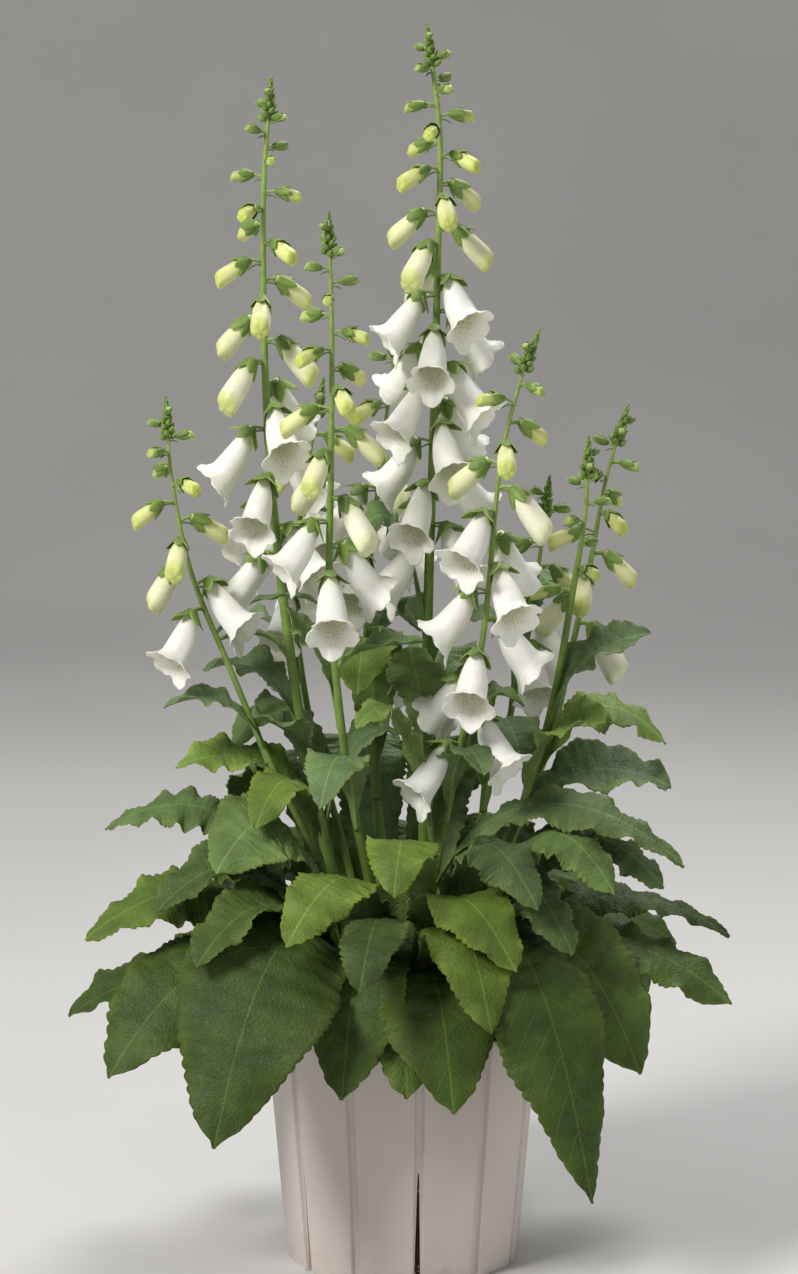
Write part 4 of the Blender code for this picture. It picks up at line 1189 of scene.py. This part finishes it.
def add_tip_cluster(skin, spike, draw):
    """The cone of tiny closed buds at the top of a stem, each a pointed oval."""
    v = np.linspace(0, 1, 8)[:, None]
    angle = turns_of(8)
    for number in range(CLUSTER_BUDS):
        share = number / (CLUSTER_BUDS - 1)
        below = CLUSTER_HEIGHT * (1 - share)
        root, along = at_height(PATHS[spike.name], tip_height(spike) - below)
        out = bearing(spike.turn + number * GOLDEN_TURN)
        axis = (out * (1.0 - 0.9 * share) + along * (0.65 + 0.6 * share)).normalized()
        length = TINY_BUD * (1 - 0.55 * share) * draw.uniform(0.9, 1.1)
        stand = root + out * CLUSTER_RADIUS * (1 - share) ** 0.5 + along * (CLUSTER_POINT * share ** 3)
        base, axis, along = array([stand, axis, along])
        side = unit(np.cross(axis, along + 1e-3))
        wide = 0.30 * length * (np.sin(math.pi * (0.10 + 0.90 * v) ** 0.8) + 0.02)
        wide = wide * (1 + 0.12 * np.cos(5 * angle))
        tone = tinted(CALYX_GREEN, STEM_PALE, 0.15 + 0.5 * v) * draw.uniform(0.85, 1.15)
        skin.add(rings_about((base, axis, side, np.cross(axis, side)), length * v, wide, angle), tone)


def point_colour(tree, place, scale, dark, light, detail=4.0):
    """The colour that each point carries, a little darker and lighter in soft blotches."""
    tint = node(tree, "ShaderNodeAttribute", attribute_name="tint").outputs["Color"]
    blotch = fade(tree, mottle(tree, place, scale, detail), 0.3, 0.7, dark, light)
    return node(tree, "ShaderNodeVectorMath", {0: tint, "Scale": blotch}, operation="SCALE").outputs[0]


def green_material():
    """Downy green skin with fine mottling."""
    made, tree, shader, place = new_material("downy_green")
    feed(tree, shader.inputs["Base Color"], point_colour(tree, place, 160.0, 0.86, 1.12))
    set_plain(shader, Roughness=0.55, Sheen_Weight=0.07, Sheen_Roughness=0.40)
    raise_surface(tree, shader, mottle(tree, place, 1500.0, 3.0), 0.35, 0.0004)
    return made


# ---- Calyxes and bracts ----------------------------------------------------------------------------
# Five pointed green sepals hold each flower where it joins its stalk, closed over young buds and spread
# behind open bells. A narrow leafy bract stands under each stalk.

# A bud's radius along its length: a narrow base, a long tube and a blunt, folded end.
BUD_SHARES = (0.0, 0.06, 0.14, 0.24, 0.36, 0.50, 0.64, 0.76, 0.86, 0.93, 0.965, 0.985, 1.0)
BUD_WIDTHS = (0.38, 0.47, 0.60, 0.74, 0.85, 0.92, 0.97, 1.00, 1.00, 0.94, 0.82, 0.58, 0.03)
BUD_SLIM = 0.96
# An open bell's radius along its length, as a share of its mouth's: a narrow base, then a full tube.
BELL_SHARES = (0.0, 0.04, 0.09, 0.16, 0.25, 0.36, 0.50, 0.64, 0.78, 0.90, 1.0)
BELL_WIDTHS = (0.24, 0.27, 0.33, 0.42, 0.53, 0.64, 0.75, 0.82, 0.86, 0.90, 0.97)
SEPALS = 5
SEPAL_HALF_WIDTH = 0.0050
SEPAL_THICKNESS = 0.0005
BELL_SPREAD = 0.007225
BUD_SPREAD = 0.00187
BRACT_LENGTH = 0.014
BRACT_HALF_WIDTH = 0.0019
BRACT_DROP = 0.0022


def corolla_profile(growth, v):
    """The corolla's radius at shares of its length, as a share of its widest."""
    if growth >= OPEN_GROWTH:
        return np.interp(v, BELL_SHARES, BELL_WIDTHS)
    return np.interp(v, BUD_SHARES, BUD_WIDTHS)


def flower_axes(flower):
    """Where the corolla starts, its axis, and the directions down and to the side of it."""
    axis, side, down = flower_frame(flower)
    return array([flower.stalk, axis, down, side])


def slab_rings(top, thickness):
    """A sheet of points given a thickness along its own normals: a ring round each row."""
    step = unit(np.cross(np.gradient(top, axis=0), np.gradient(top, axis=1))) * (thickness / 2)
    return np.concatenate([top + step, (top - step)[:, ::-1]], axis=1)


def add_calyx(skin, flower, draw):
    length, radius, sepal, _, _ = stage(flower.growth)
    young, opened = flower.growth <= GREEN_BUD, flower.growth >= OPEN_GROWTH
    rows, columns = (7, 4) if young else (10, 5)
    t = np.linspace(0, 1, rows)[:, None]
    u = np.linspace(-1, 1, columns)[None, :]
    width = min(1.0, 0.38 + 0.70 * flower.growth) * SEPAL_HALF_WIDTH
    shape = np.maximum(np.sin(math.pi * (0.14 + 0.86 * t) ** 0.85), 0) ** 0.7 + 0.02
    edge = np.abs(np.concatenate([u, u[:, ::-1]], axis=1)) ** 3
    for number in range(SEPALS):
        middle = math.tau * (number + 0.5) / SEPALS + draw.uniform(-0.12, 0.12)
        reach = sepal * draw.uniform(0.94, 1.06)
        spread = draw.uniform(0.65, 1.25)
        if young:
            reach, spread = min(1.25 * reach, 0.93 * length), 0.0002
        elif opened:
            reach, spread = 0.78 * reach, 0.0004 + BELL_SPREAD * spread * t ** 1.3
        else:
            reach, spread = 0.95 * reach, 0.0004 + BUD_SPREAD * spread * t ** 2.0
        along = reach * t
        hold = radius * BUD_SLIM * corolla_profile(flower.growth, np.minimum(along / length, 0.94))
        away = np.maximum(hold, 0.0012) + spread + 0.0005 * (1 - u * u) * np.sin(math.pi * t)
        away = away + 0.00025 * (number % 2)
        angle = middle + u * (0.80 * shape if young else width * shape / np.maximum(away, 0.0014))
        rings = slab_rings(rings_about(flower_axes(flower), along, away, angle), SEPAL_THICKNESS)
        pale = tinted(CALYX_GREEN, STEM_PALE, 0.05 + 0.35 * t + 0.55 * edge)
        skin.add(rings, pale * draw.uniform(0.88, 1.15), slab=True)


def add_bract(skin, flower, draw):
    """A narrow pointed leaf, from the stem under the flower's stalk."""
    out = flower.stalk - flower.root
    level = Vector((out.x, out.y, 0)).normalized()
    reach = BRACT_LENGTH * min(1.0, 0.45 + 0.6 * flower.growth) * draw.uniform(0.85, 1.15)
    wide = BRACT_HALF_WIDTH * min(1.0, 0.5 + 0.6 * flower.growth)
    t = np.linspace(0, 1, 8)[:, None]
    u = np.linspace(-1, 1, 3)[None, :]
    rise = reach * (0.50 * t - draw.uniform(0.45, 0.75) * t * t)
    shape = wide * hump(0.15 + 0.85 * t) ** 0.8 + 0.0001
    across = level.cross(UP).normalized()
    root, level, across, up = array([flower.root - UP * BRACT_DROP, level, across, UP])
    top = root + (reach * t)[..., None] * level + (shape * u)[..., None] * across
    top = top + (rise + np.abs(u) * shape * 0.5)[..., None] * up
    tint = tinted(CALYX_GREEN, STEM_GREEN, draw.random())
    skin.add(slab_rings(top, SEPAL_THICKNESS), tint, slab=True)


# ---- Buds and bells --------------------------------------------------------------------------------
# Buds are closed tubes that ripen from yellow-green to cream. Open bells are thin white shells that
# swell from a narrow base to a flared mouth of five lobes, the lowest the longest, dotted inside.

BELL_AROUND = 45
BELL_SKIN = 0.0006
BELL_ROWS = np.concatenate([np.linspace(0, 0.78, 14), np.linspace(0.81, 1.0, 11)])[:, None]
INSIDE_FROM = 3
LOBE_FLARE = 0.50
LOBE_LENGTH = 0.095
LOWER_LOBE_LENGTH = 0.13
CRINKLE = 0.030
BUD_YOUNG = (0.340, 0.450, 0.120)
BUD_TIP = (0.560, 0.650, 0.110)
BUD_YELLOW = (0.720, 0.750, 0.250)
BUD_CREAM = (0.870, 0.860, 0.590)
BELL_WHITE = (0.930, 0.915, 0.830)
BELL_BASE = (0.720, 0.760, 0.480)
# Deep in the throat: its own cream, made darker as painted shade.
THROAT_CREAM_AND_SHADE = (0.820, 0.830, 0.620)
SPOT = (0.380, 0.370, 0.210, 1)
# (growth, colour) of a corolla as it ripens.
RIPENING = [(0.0, BUD_YOUNG), (0.40, BUD_YOUNG), (0.62, BUD_YELLOW), (0.90, BUD_CREAM),
            (1.0, BELL_WHITE)]


def bud_colour(growth):
    """The colour of a corolla at its growth."""
    growths, colours = zip(*RIPENING)
    return np.array([np.interp(growth, growths, channel) for channel in zip(*colours)])


def marking(*parts):
    """Three markings of each point, as one array."""
    return np.stack(np.broadcast_arrays(*parts), axis=-1)


def add_bud(skin, flower, draw):
    length, radius = stage(flower.growth)[:2]
    v = np.array(BUD_SHARES)[:, None]
    profile = np.array(BUD_WIDTHS)[:, None]
    angle = turns_of(12 if flower.growth <= GREEN_BUD else 20)
    fold = (1 - np.abs(np.cos(2.5 * angle)) ** 0.8) * smooth(v, 0.55, 0.95)
    wide = radius * BUD_SLIM * profile * (1 - 0.14 * fold)
    wide = wide * (1 + 0.07 * np.cos(angle) * np.sin(math.pi * v))
    slant = 0.35 * radius * np.cos(angle) * smooth(v, 0.5, 0.95) * profile
    along = length * (v - 0.015 * fold) + slant
    grid = rings_about(flower_axes(flower), along, wide, angle, 0.035 * length * v * v)
    colour = bud_colour(flower.growth) * draw.uniform(0.95, 1.04)
    tint = tinted(colour * (0.72, 0.84, 0.55), colour, smooth(v, 0.05, 0.45))
    green_tip = 0.75 * smooth(flower.growth, 0.30, 0.55) if flower.growth < 0.93 else 0.40
    tint = tinted(tint, BUD_TIP, green_tip * smooth(v, 0.72, 0.98))
    skin.add(grid, tint, marking(v, angle / math.tau, 0.0))


def add_bell(skin, flower, draw):
    """A thin shell, from its base to its mouth and back inside. lobe is 1 on a lobe, 0 at a notch."""
    length, radius = stage(flower.growth)[:2]
    length *= draw.uniform(0.94, 1.05)
    radius *= draw.uniform(0.95, 1.06)
    phase = draw.uniform(0, math.tau)
    v, angle = BELL_ROWS, turns_of(BELL_AROUND)
    lobe = np.abs(np.cos(2.5 * angle)) ** 0.55
    below = np.clip(np.cos(angle), 0, 1) ** 4
    above = np.clip(-np.cos(angle), 0, 1)

    flare = 0.09 + LOBE_FLARE * lobe * (1 - 0.35 * below) * (1 + 0.08 * above)
    wide = corolla_profile(1.0, v) * (1 + 0.07 * np.cos(angle) * np.sin(math.pi * v))
    wide = wide + flare * smooth(v, 0.78, 1.04) ** 1.4
    wide = wide * (1 - 0.030 * (1 - lobe) * smooth(v, 0.30, 0.85))
    crinkle = np.sin(9 * angle + phase) + 0.8 * np.sin(16 * angle + 2.3 * phase)
    wide = wide + CRINKLE * smooth(v, 0.84, 1.0) * crinkle
    wide = wide + 0.016 * smooth(v, 0.40, 0.95) * np.sin(6 * angle + 5 * v + 1.3 * phase)

    lip = LOBE_LENGTH * lobe * (1 - 0.30 * above) + LOWER_LOBE_LENGTH * below
    along = v * (0.92 + 0.06 * np.cos(angle) * v * v) + lip * smooth(v, 0.66, 1.0)
    along = along - 0.022 * lobe * smooth(v, 0.94, 1.0) * (1 - below)
    along = along + 0.012 * smooth(v, 0.90, 1.0) * np.sin(13 * angle + 1.7 * phase)
    sag = 0.045 * length * np.sin(math.pi * v * 0.8)
    outside = rings_about(flower_axes(flower), length * along, radius * wide, angle, sag)

    wrapped = np.concatenate([outside[:, -1:], outside, outside[:, :1]], axis=1)
    normal = unit(np.cross(np.gradient(wrapped, axis=0), np.gradient(wrapped, axis=1))[:, 1:-1])
    normal *= np.sign(np.sum(normal * (outside - outside.mean(axis=1, keepdims=True))))
    inside = (outside - normal * BELL_SKIN)[INSIDE_FROM:][::-1]
    row_share = np.concatenate([v, v[INSIDE_FROM:][::-1]])
    within = np.concatenate([np.zeros_like(v), np.ones_like(v[INSIDE_FROM:])])

    colour = np.array(BELL_WHITE) * draw.uniform(0.97, 1.02)
    tint = tinted(BELL_BASE, colour, smooth(row_share, 0.02, 0.40))
    # Inside, deep in the throat, the colour turns cream and darker: partly its own cream, partly
    # painted shade.
    tint = tinted(tint, THROAT_CREAM_AND_SHADE, within * (1 - smooth(row_share, 0.70, 0.95)))
    spots = within * smooth(np.cos(angle), 0.0, 0.6) * smooth(row_share, 0.45, 0.6)
    spots = spots * (1 - smooth(row_share, 0.82, 0.95))
    skin.add(np.concatenate([outside, inside]), tint, marking(row_share, angle / math.tau, spots))


def point_marks(tree):
    """The three markings that each point carries."""
    mark = node(tree, "ShaderNodeAttribute", attribute_name="mark").outputs["Vector"]
    return node(tree, "ShaderNodeSeparateXYZ", {"Vector": mark}).outputs


def petal_material():
    made, tree, shader, place = new_material("bell_petal")
    mark = point_marks(tree)
    cells = node(tree, "ShaderNodeTexVoronoi", {"Vector": place, "Scale": 480.0, "Randomness": 0.8})
    dot = times(tree, fade(tree, cells.outputs["Distance"], 0.34, 0.22), mark["Z"])
    colour = point_colour(tree, place, 90.0, 0.95, 1.03)
    feed(tree, shader.inputs["Base Color"], blend(tree, times(tree, dot, 0.70), colour, SPOT))
    set_plain(shader, Roughness=0.50, Sheen_Weight=0.15, Sheen_Roughness=0.45, Subsurface_Weight=0.25,
              Subsurface_Radius=(1.0, 0.95, 0.7), Subsurface_Scale=0.0025)
    veins = maths(tree, "SINE", times(tree, mark["Y"], math.tau * 30))
    grain = maths(tree, "ADD", times(tree, veins, 0.13), mottle(tree, place, 700.0, 3.0))
    raise_surface(tree, shader, grain, 0.30, 0.0004)
    return made


# Every stem becomes two pieces: its green parts, and its buds and bells.
draw = random.Random(41)
green = green_material()
petal = petal_material()

for spike in SPIKES:
    greens, corollas = Skin(), Skin()
    add_stem(greens, spike, draw)
    add_tip_cluster(greens, spike, draw)
    for flower in flowers_of[spike.name]:
        add_stalk(greens, flower, draw)
        add_calyx(greens, flower, draw)
        add_bract(greens, flower, draw)
        add_corolla = add_bell if flower.growth >= OPEN_GROWTH else add_bud
        add_corolla(corollas, flower, draw)
    greens.make(f"stalks_{spike.name}", green, "flowering_stem", f"stem_{spike.name}")
    corollas.make(f"flowers_{spike.name}", petal, "flowering_stem")


# ---- Leaves ----------------------------------------------------------------------------------------
# Long oval leaves with round teeth, on winged stalks. Side veins arch from a stout midrib towards the
# edge, sunk into the upper face and raised below, and the blade swells between them. The large lower
# ones grow from a ring of packed leaf bases on the soil.

LEAF_ROW = 0.0015
LEAF_COLUMNS = (-1.0, -0.92, -0.75, -0.50, -0.20, 0.0, 0.20, 0.50, 0.75, 0.92, 1.0)
LEAF_SKIN = 0.0006
TOOTH_LENGTH = 0.0058
TOOTH_DEPTH = 0.0030
CROWN_STEPS = 180
CROWN_AROUND = 16
ROSETTE_PIECES = 3
VEIN_SPACING = 0.0100
VEIN_WIDENING = 0.10
VEIN_DEPTH = 0.0008
PUFF = 0.0022
RUFFLE = 0.0023
RUFFLE_LENGTH = 0.034
BROAD_LEAF = 0.070
ROUNDER_TIP = 0.26
KEEL = 0.0012
LEAF_DEEP = (0.036, 0.067, 0.006)
# A greyer green for high leaves: partly downy hairs, partly a painted sheen.
LEAF_GREY_AND_SHEEN = (0.100, 0.164, 0.066)
# Yellow-green, painted as light shining through a leaf.
LEAF_BACKLIT_LIME = (0.165, 0.265, 0.024)
LEAF_UNDER = (0.160, 0.240, 0.075)
VEIN_LIGHTER = (1.75, 1.55, 1.5)
VEIN_PALER = (0.030, 0.040, 0.014)


def add_leaf(skin, leaf, tone):
    """One fine leaf: the blade's form row by row, then teeth, ruffles, sunken veins and a keel."""
    coarse = [leaf_midrib(leaf, k / 24) for k in range(25)]
    length = sum((b - a).length for a, b in zip(coarse, coarse[1:]))
    t = np.linspace(0, 1, max(12, int(length / LEAF_ROW)) + 1)[:, None]
    u = np.array(LEAF_COLUMNS)[None, :]
    size, hand, seed = np.abs(u), np.sign(u), leaf.seed
    frames = [leaf_frame(leaf, share) for share in t[:, 0]]
    middle, across, face = (array(part)[:, None, :] for part in zip(*frames))
    half = np.array([leaf_half_width(leaf, share) for share in t[:, 0]])[:, None]
    if leaf.width > BROAD_LEAF:
        half = half * (1 + ROUNDER_TIP * hump((t - 0.60) / 0.40))
    half = half * (1 - 0.60 * smooth(t, 0.97, 1.0))
    blade = smooth(t, 0.10, 0.22)
    small = np.clip(half / 0.020, 0.35, 1.0)

    edge = smooth(size, 0.62, 1.0)
    tooth = TOOTH_LENGTH * min(1.0, 0.55 + 8 * leaf.width)
    tooth_at = t * length / tooth + 0.18 * np.sin(math.tau * 5.3 * t + seed) + 0.25 * hand
    uneven = 0.75 + 0.35 * np.sin(math.tau * 2.7 * t + 1.7 * seed + hand)
    toothed = np.abs(np.sin(math.pi * tooth_at)) ** 0.7 * uneven - 0.45
    reach = half * size + TOOTH_DEPTH * toothed * blade * np.clip(small * 1.3, 0.65, 1) * edge

    fold = leaf.cup * size ** FOLD_CURVE
    wave = WAVE_HEIGHT * size ** 2 * np.sin(math.tau * WAVES * t + seed + 1.9 * hand)
    wave = wave * np.minimum(1, 3 * t)
    bend = length / RUFFLE_LENGTH
    drift = 1.3 * np.sin(math.tau * 1.7 * t + seed)
    ruffle = np.sin(math.tau * bend * t + 2.1 * seed + 2.6 * hand + drift)
    crisp = np.sin(math.tau * 2.3 * bend * t + 3.3 * seed - 1.6 * hand)
    frill = RUFFLE * (1.5 if leaf.width < BROAD_LEAF else 1.0) * small * blade
    ruffle = frill * (size ** 2.6 * ruffle + 0.32 * size ** 5 * crisp)

    vein = (t * length - 1.05 * size ** 1.3 * half) / (VEIN_SPACING + VEIN_WIDENING * leaf.width)
    between = np.abs(np.sin(math.pi * vein)) ** 0.8 - 0.45
    plump = hump((size - 0.03) / 0.97) ** 0.5
    puff = PUFF * between * plump * blade * np.clip(half / 0.024, 0.15, 1.2)
    out = hand * reach * np.cos(np.minimum(np.abs(fold), MOST_FOLD))
    groove = VEIN_DEPTH * np.exp(-(size * half / 0.0018) ** 2) * blade
    lift = half * (fold + wave) + ruffle + puff - groove
    keel = np.exp(-(size * half / 0.0022) ** 2) * (KEEL * (1 - 0.75 * t) + 0.0022 * (1 - blade))
    top = middle + out[..., None] * across + lift[..., None] * face
    under = top - face * (LEAF_SKIN + keel)[..., None]

    # Lighter towards the edge: painted light shining through the thin margin.
    edge_glow = tinted(tone, np.array(tone) * (1.55, 1.30, 1.05), edge * 0.7)
    upper = tinted(np.array(STEM_PALE) * 0.8, edge_glow, 0.25 + 0.75 * smooth(t, 0.02, 0.22))
    lower = tinted(LEAF_UNDER, upper, 0.35)
    marks = marking(vein, out, 0.0), marking(vein, out, 1.0)
    grid, tint, mark = (np.concatenate([above, below[:, ::-1]], axis=1)
                        for above, below in ((top, under), (upper, lower), marks))
    skin.add(grid, tint, mark, slab=True)


def add_crown(skin):
    """The ring of packed leaf bases on the soil, lumpy where each leaf leaves it."""
    turn, angle = turns_of(CROWN_STEPS).T, turns_of(CROWN_AROUND)
    lumps = 1 + 0.12 * np.sin(23 * turn) + 0.08 * np.sin(41 * turn + 2 * angle)
    section = RING_TUBE * 0.94 * lumps
    out = RING_RADIUS + section * np.cos(angle)
    up = SOIL_TOP + FIT_GAP + np.maximum(section * np.sin(angle), 0.0)
    tint = tinted(np.array(STEM_PALE) * 0.6, LEAF_DEEP, 0.5 + 0.5 * np.sin(23 * turn) * np.cos(angle))
    skin.add(np.stack([out * np.sin(turn), -out * np.cos(turn), up], axis=-1), tint, loop=True)


def leaf_tone(leaf, draw):
    """Deep green low down, greyer high up as downy hairs and a painted sheen, and a painted glow of
    light through a few leaves.
    """
    # Greyer high up: partly downy hairs, partly a painted sheen of light on the upper leaves.
    high = float(smooth(leaf.root.z + leaf.apex, 0.24, 0.44))
    tone = tinted(LEAF_DEEP, LEAF_GREY_AND_SHEEN, min(1.0, high + draw.uniform(0, 0.14)))
    # A few leaves turn yellow-green: painted light shining through them.
    backlit_share = draw.random() ** 3.0 * (0.25 if leaf.width > BROAD_LEAF else 0.75)
    return tinted(tone, LEAF_BACKLIT_LIME, backlit_share) * draw.uniform(0.80, 1.30)


def leaf_material():
    """Green, paler along a net of veins that sink into the upper face and stand out of the lower."""
    made, tree, shader, place = new_material("foxglove_leaf")
    mark = point_marks(tree)
    side_vein = fade(tree, maths(tree, "PINGPONG", mark["X"], 0.5), 0.034, 0.008)
    midrib = fade(tree, maths(tree, "ABSOLUTE", mark["Y"]), 0.0010, 0.0004)
    wobble = node(tree, "ShaderNodeTexNoise", {"Vector": place, "Scale": 120.0}).outputs["Color"]
    bent = node(tree, "ShaderNodeVectorMath", {0: wobble, 1: (0.004, 0.004, 0.004), 2: place},
                operation="MULTIPLY_ADD").outputs[0]
    net, finer = (node(tree, "ShaderNodeTexVoronoi", {"Vector": bent, "Scale": scale},
                       feature="DISTANCE_TO_EDGE").outputs["Distance"] for scale in (300.0, 520.0))
    fine = fade(tree, finer, 0.14, 0.0)
    lines = midrib
    for line, strength in ((side_vein, 0.85), (fade(tree, net, 0.10, 0.0), 0.17), (fine, 0.06)):
        lines = maths(tree, "MAXIMUM", lines, times(tree, line, strength))
    colour = point_colour(tree, place, 45.0, 0.78, 1.22, 5.0)
    pale = node(tree, "ShaderNodeVectorMath", {0: colour, 1: VEIN_LIGHTER, 2: VEIN_PALER},
                operation="MULTIPLY_ADD").outputs[0]
    feed(tree, shader.inputs["Base Color"], blend(tree, times(tree, lines, 0.66), colour, pale))
    feed(tree, shader.inputs["Roughness"], fade(tree, fine, 0.0, 1.0, 0.52, 0.64))
    set_plain(shader, Specular_IOR_Level=0.24, Sheen_Weight=0.02, Sheen_Roughness=0.50)
    sunk = side_vein
    for line, depth in ((fade(tree, net, 0.34, 0.0), 0.50), (fine, 0.07)):
        sunk = maths(tree, "ADD", sunk, times(tree, line, depth))
    up_or_down = maths(tree, "SUBTRACT", times(tree, mark["Z"], 2.0), 1.0)
    raise_surface(tree, shader, times(tree, sunk, up_or_down), 0.55, 0.0009)
    return made


# The leaves of each stem are one piece, and the large lower leaves are three. The first of these three
# has the ring, and stands for the whole plain rosette.
tones = random.Random(15)
leaf_finish = leaf_material()

for name, leaves in leaves_of.items():
    blades = Skin()
    for leaf in leaves:
        add_leaf(blades, leaf, leaf_tone(leaf, tones))
    if leaves:
        blades.make(f"leaves_{name}", leaf_finish, "flowering_stem")

for share in range(ROSETTE_PIECES):
    blades, covered = Skin(), []
    if share == 0:
        add_crown(blades)
        covered.append(LOWER_NODE)
    for leaf in rosette[share::ROSETTE_PIECES]:
        add_leaf(blades, leaf, leaf_tone(leaf, tones))
    blades.make(f"rosette_{share}", leaf_finish, "leafy_green", *covered)


# ---- Room and camera -------------------------------------------------------------------------------
# The plant stands on a plain pale floor. A broad soft light stands at the left, a weaker one at the
# right and a third above and behind, and a long lens looks slightly down on it from the front.

FLOOR_SIZE = 14.0
SWEEP_START = 3.0
SWEEP_RADIUS = 2.0
SWEEP_STEPS = 24
FLOOR_LOW = (0.62, 0.61, 0.60, 1)
FLOOR_HIGH = (0.66, 0.65, 0.64, 1)
ROOM_COLOUR = (1.0, 0.985, 0.97, 1)
ROOM_STRENGTH = 0.25
CAMERA_PLACE = Vector((-0.003, -2.5, 0.84))
CAMERA_AIM = Vector((-0.003, 0.0, 0.477))
LENS_MM = 95.1
SENSOR_MM = 36.0
# (name, place, size, watts, colour) of each soft light. All of them face the middle of the plant.
LIGHTS = [
    ("key_light", (-1.9, -1.7, 2.5), 1.0, 94, (1.0, 0.985, 0.96)),
    ("fill_light", (2.2, -1.6, 1.3), 1.6, 10, (0.96, 0.98, 1.0)),
    ("top_light", (0.6, 1.1, 2.4), 1.0, 34, (1.0, 1.0, 1.0)),
]


def make_floor():
    """A pale sheet that lies under the plant and sweeps up far behind it."""
    made, tree, shader, place = new_material("pale_floor")
    cloud = fade(tree, mottle(tree, place, 1.4, 3.0), 0.3, 0.7)
    feed(tree, shader.inputs["Base Color"], blend(tree, cloud, FLOOR_LOW, FLOOR_HIGH))
    set_plain(shader, Roughness=0.85)
    half = FLOOR_SIZE / 2
    turns = [math.radians(90 * k / SWEEP_STEPS) for k in range(SWEEP_STEPS + 1)]
    sweep = [(SWEEP_START + SWEEP_RADIUS * math.sin(turn), SWEEP_RADIUS * (1 - math.cos(turn)))
             for turn in turns]
    line = [(-half, 0)] + sweep + [(SWEEP_START + SWEEP_RADIUS, half)]
    points = [(x, y, z) for y, z in line for x in (-half, half)]
    faces = [(2 * k, 2 * k + 1, 2 * k + 3, 2 * k + 2) for k in range(len(line) - 1)]
    mesh = smooth_mesh("floor", points, faces)
    mesh.materials.append(made)
    return place_in_scene("floor", mesh)


def facing(place, aim):
    return (Vector(aim) - Vector(place)).to_track_quat("-Z", "Y").to_euler()


make_floor()
for name, place, size, watts, colour in LIGHTS:
    lamp = bpy.data.lights.new(name, "AREA")
    lamp.shape, lamp.size, lamp.energy, lamp.color = "DISK", size, watts, colour
    holder = place_in_scene(name, lamp)
    holder.location = place
    holder.rotation_euler = facing(place, CAMERA_AIM)

world = bpy.data.worlds.new("room")
world.use_nodes = True
set_plain(world.node_tree.nodes["Background"], Color=ROOM_COLOUR, Strength=ROOM_STRENGTH)
scene.world = world
scene.view_settings.view_transform = "Standard"

lens = bpy.data.cameras.new("camera")
lens.sensor_fit = "VERTICAL"
lens.sensor_height = SENSOR_MM
lens.lens = LENS_MM
camera = place_in_scene("camera", lens)
camera.location = CAMERA_PLACE
camera.rotation_euler = facing(CAMERA_PLACE, CAMERA_AIM)
scene.camera = camera
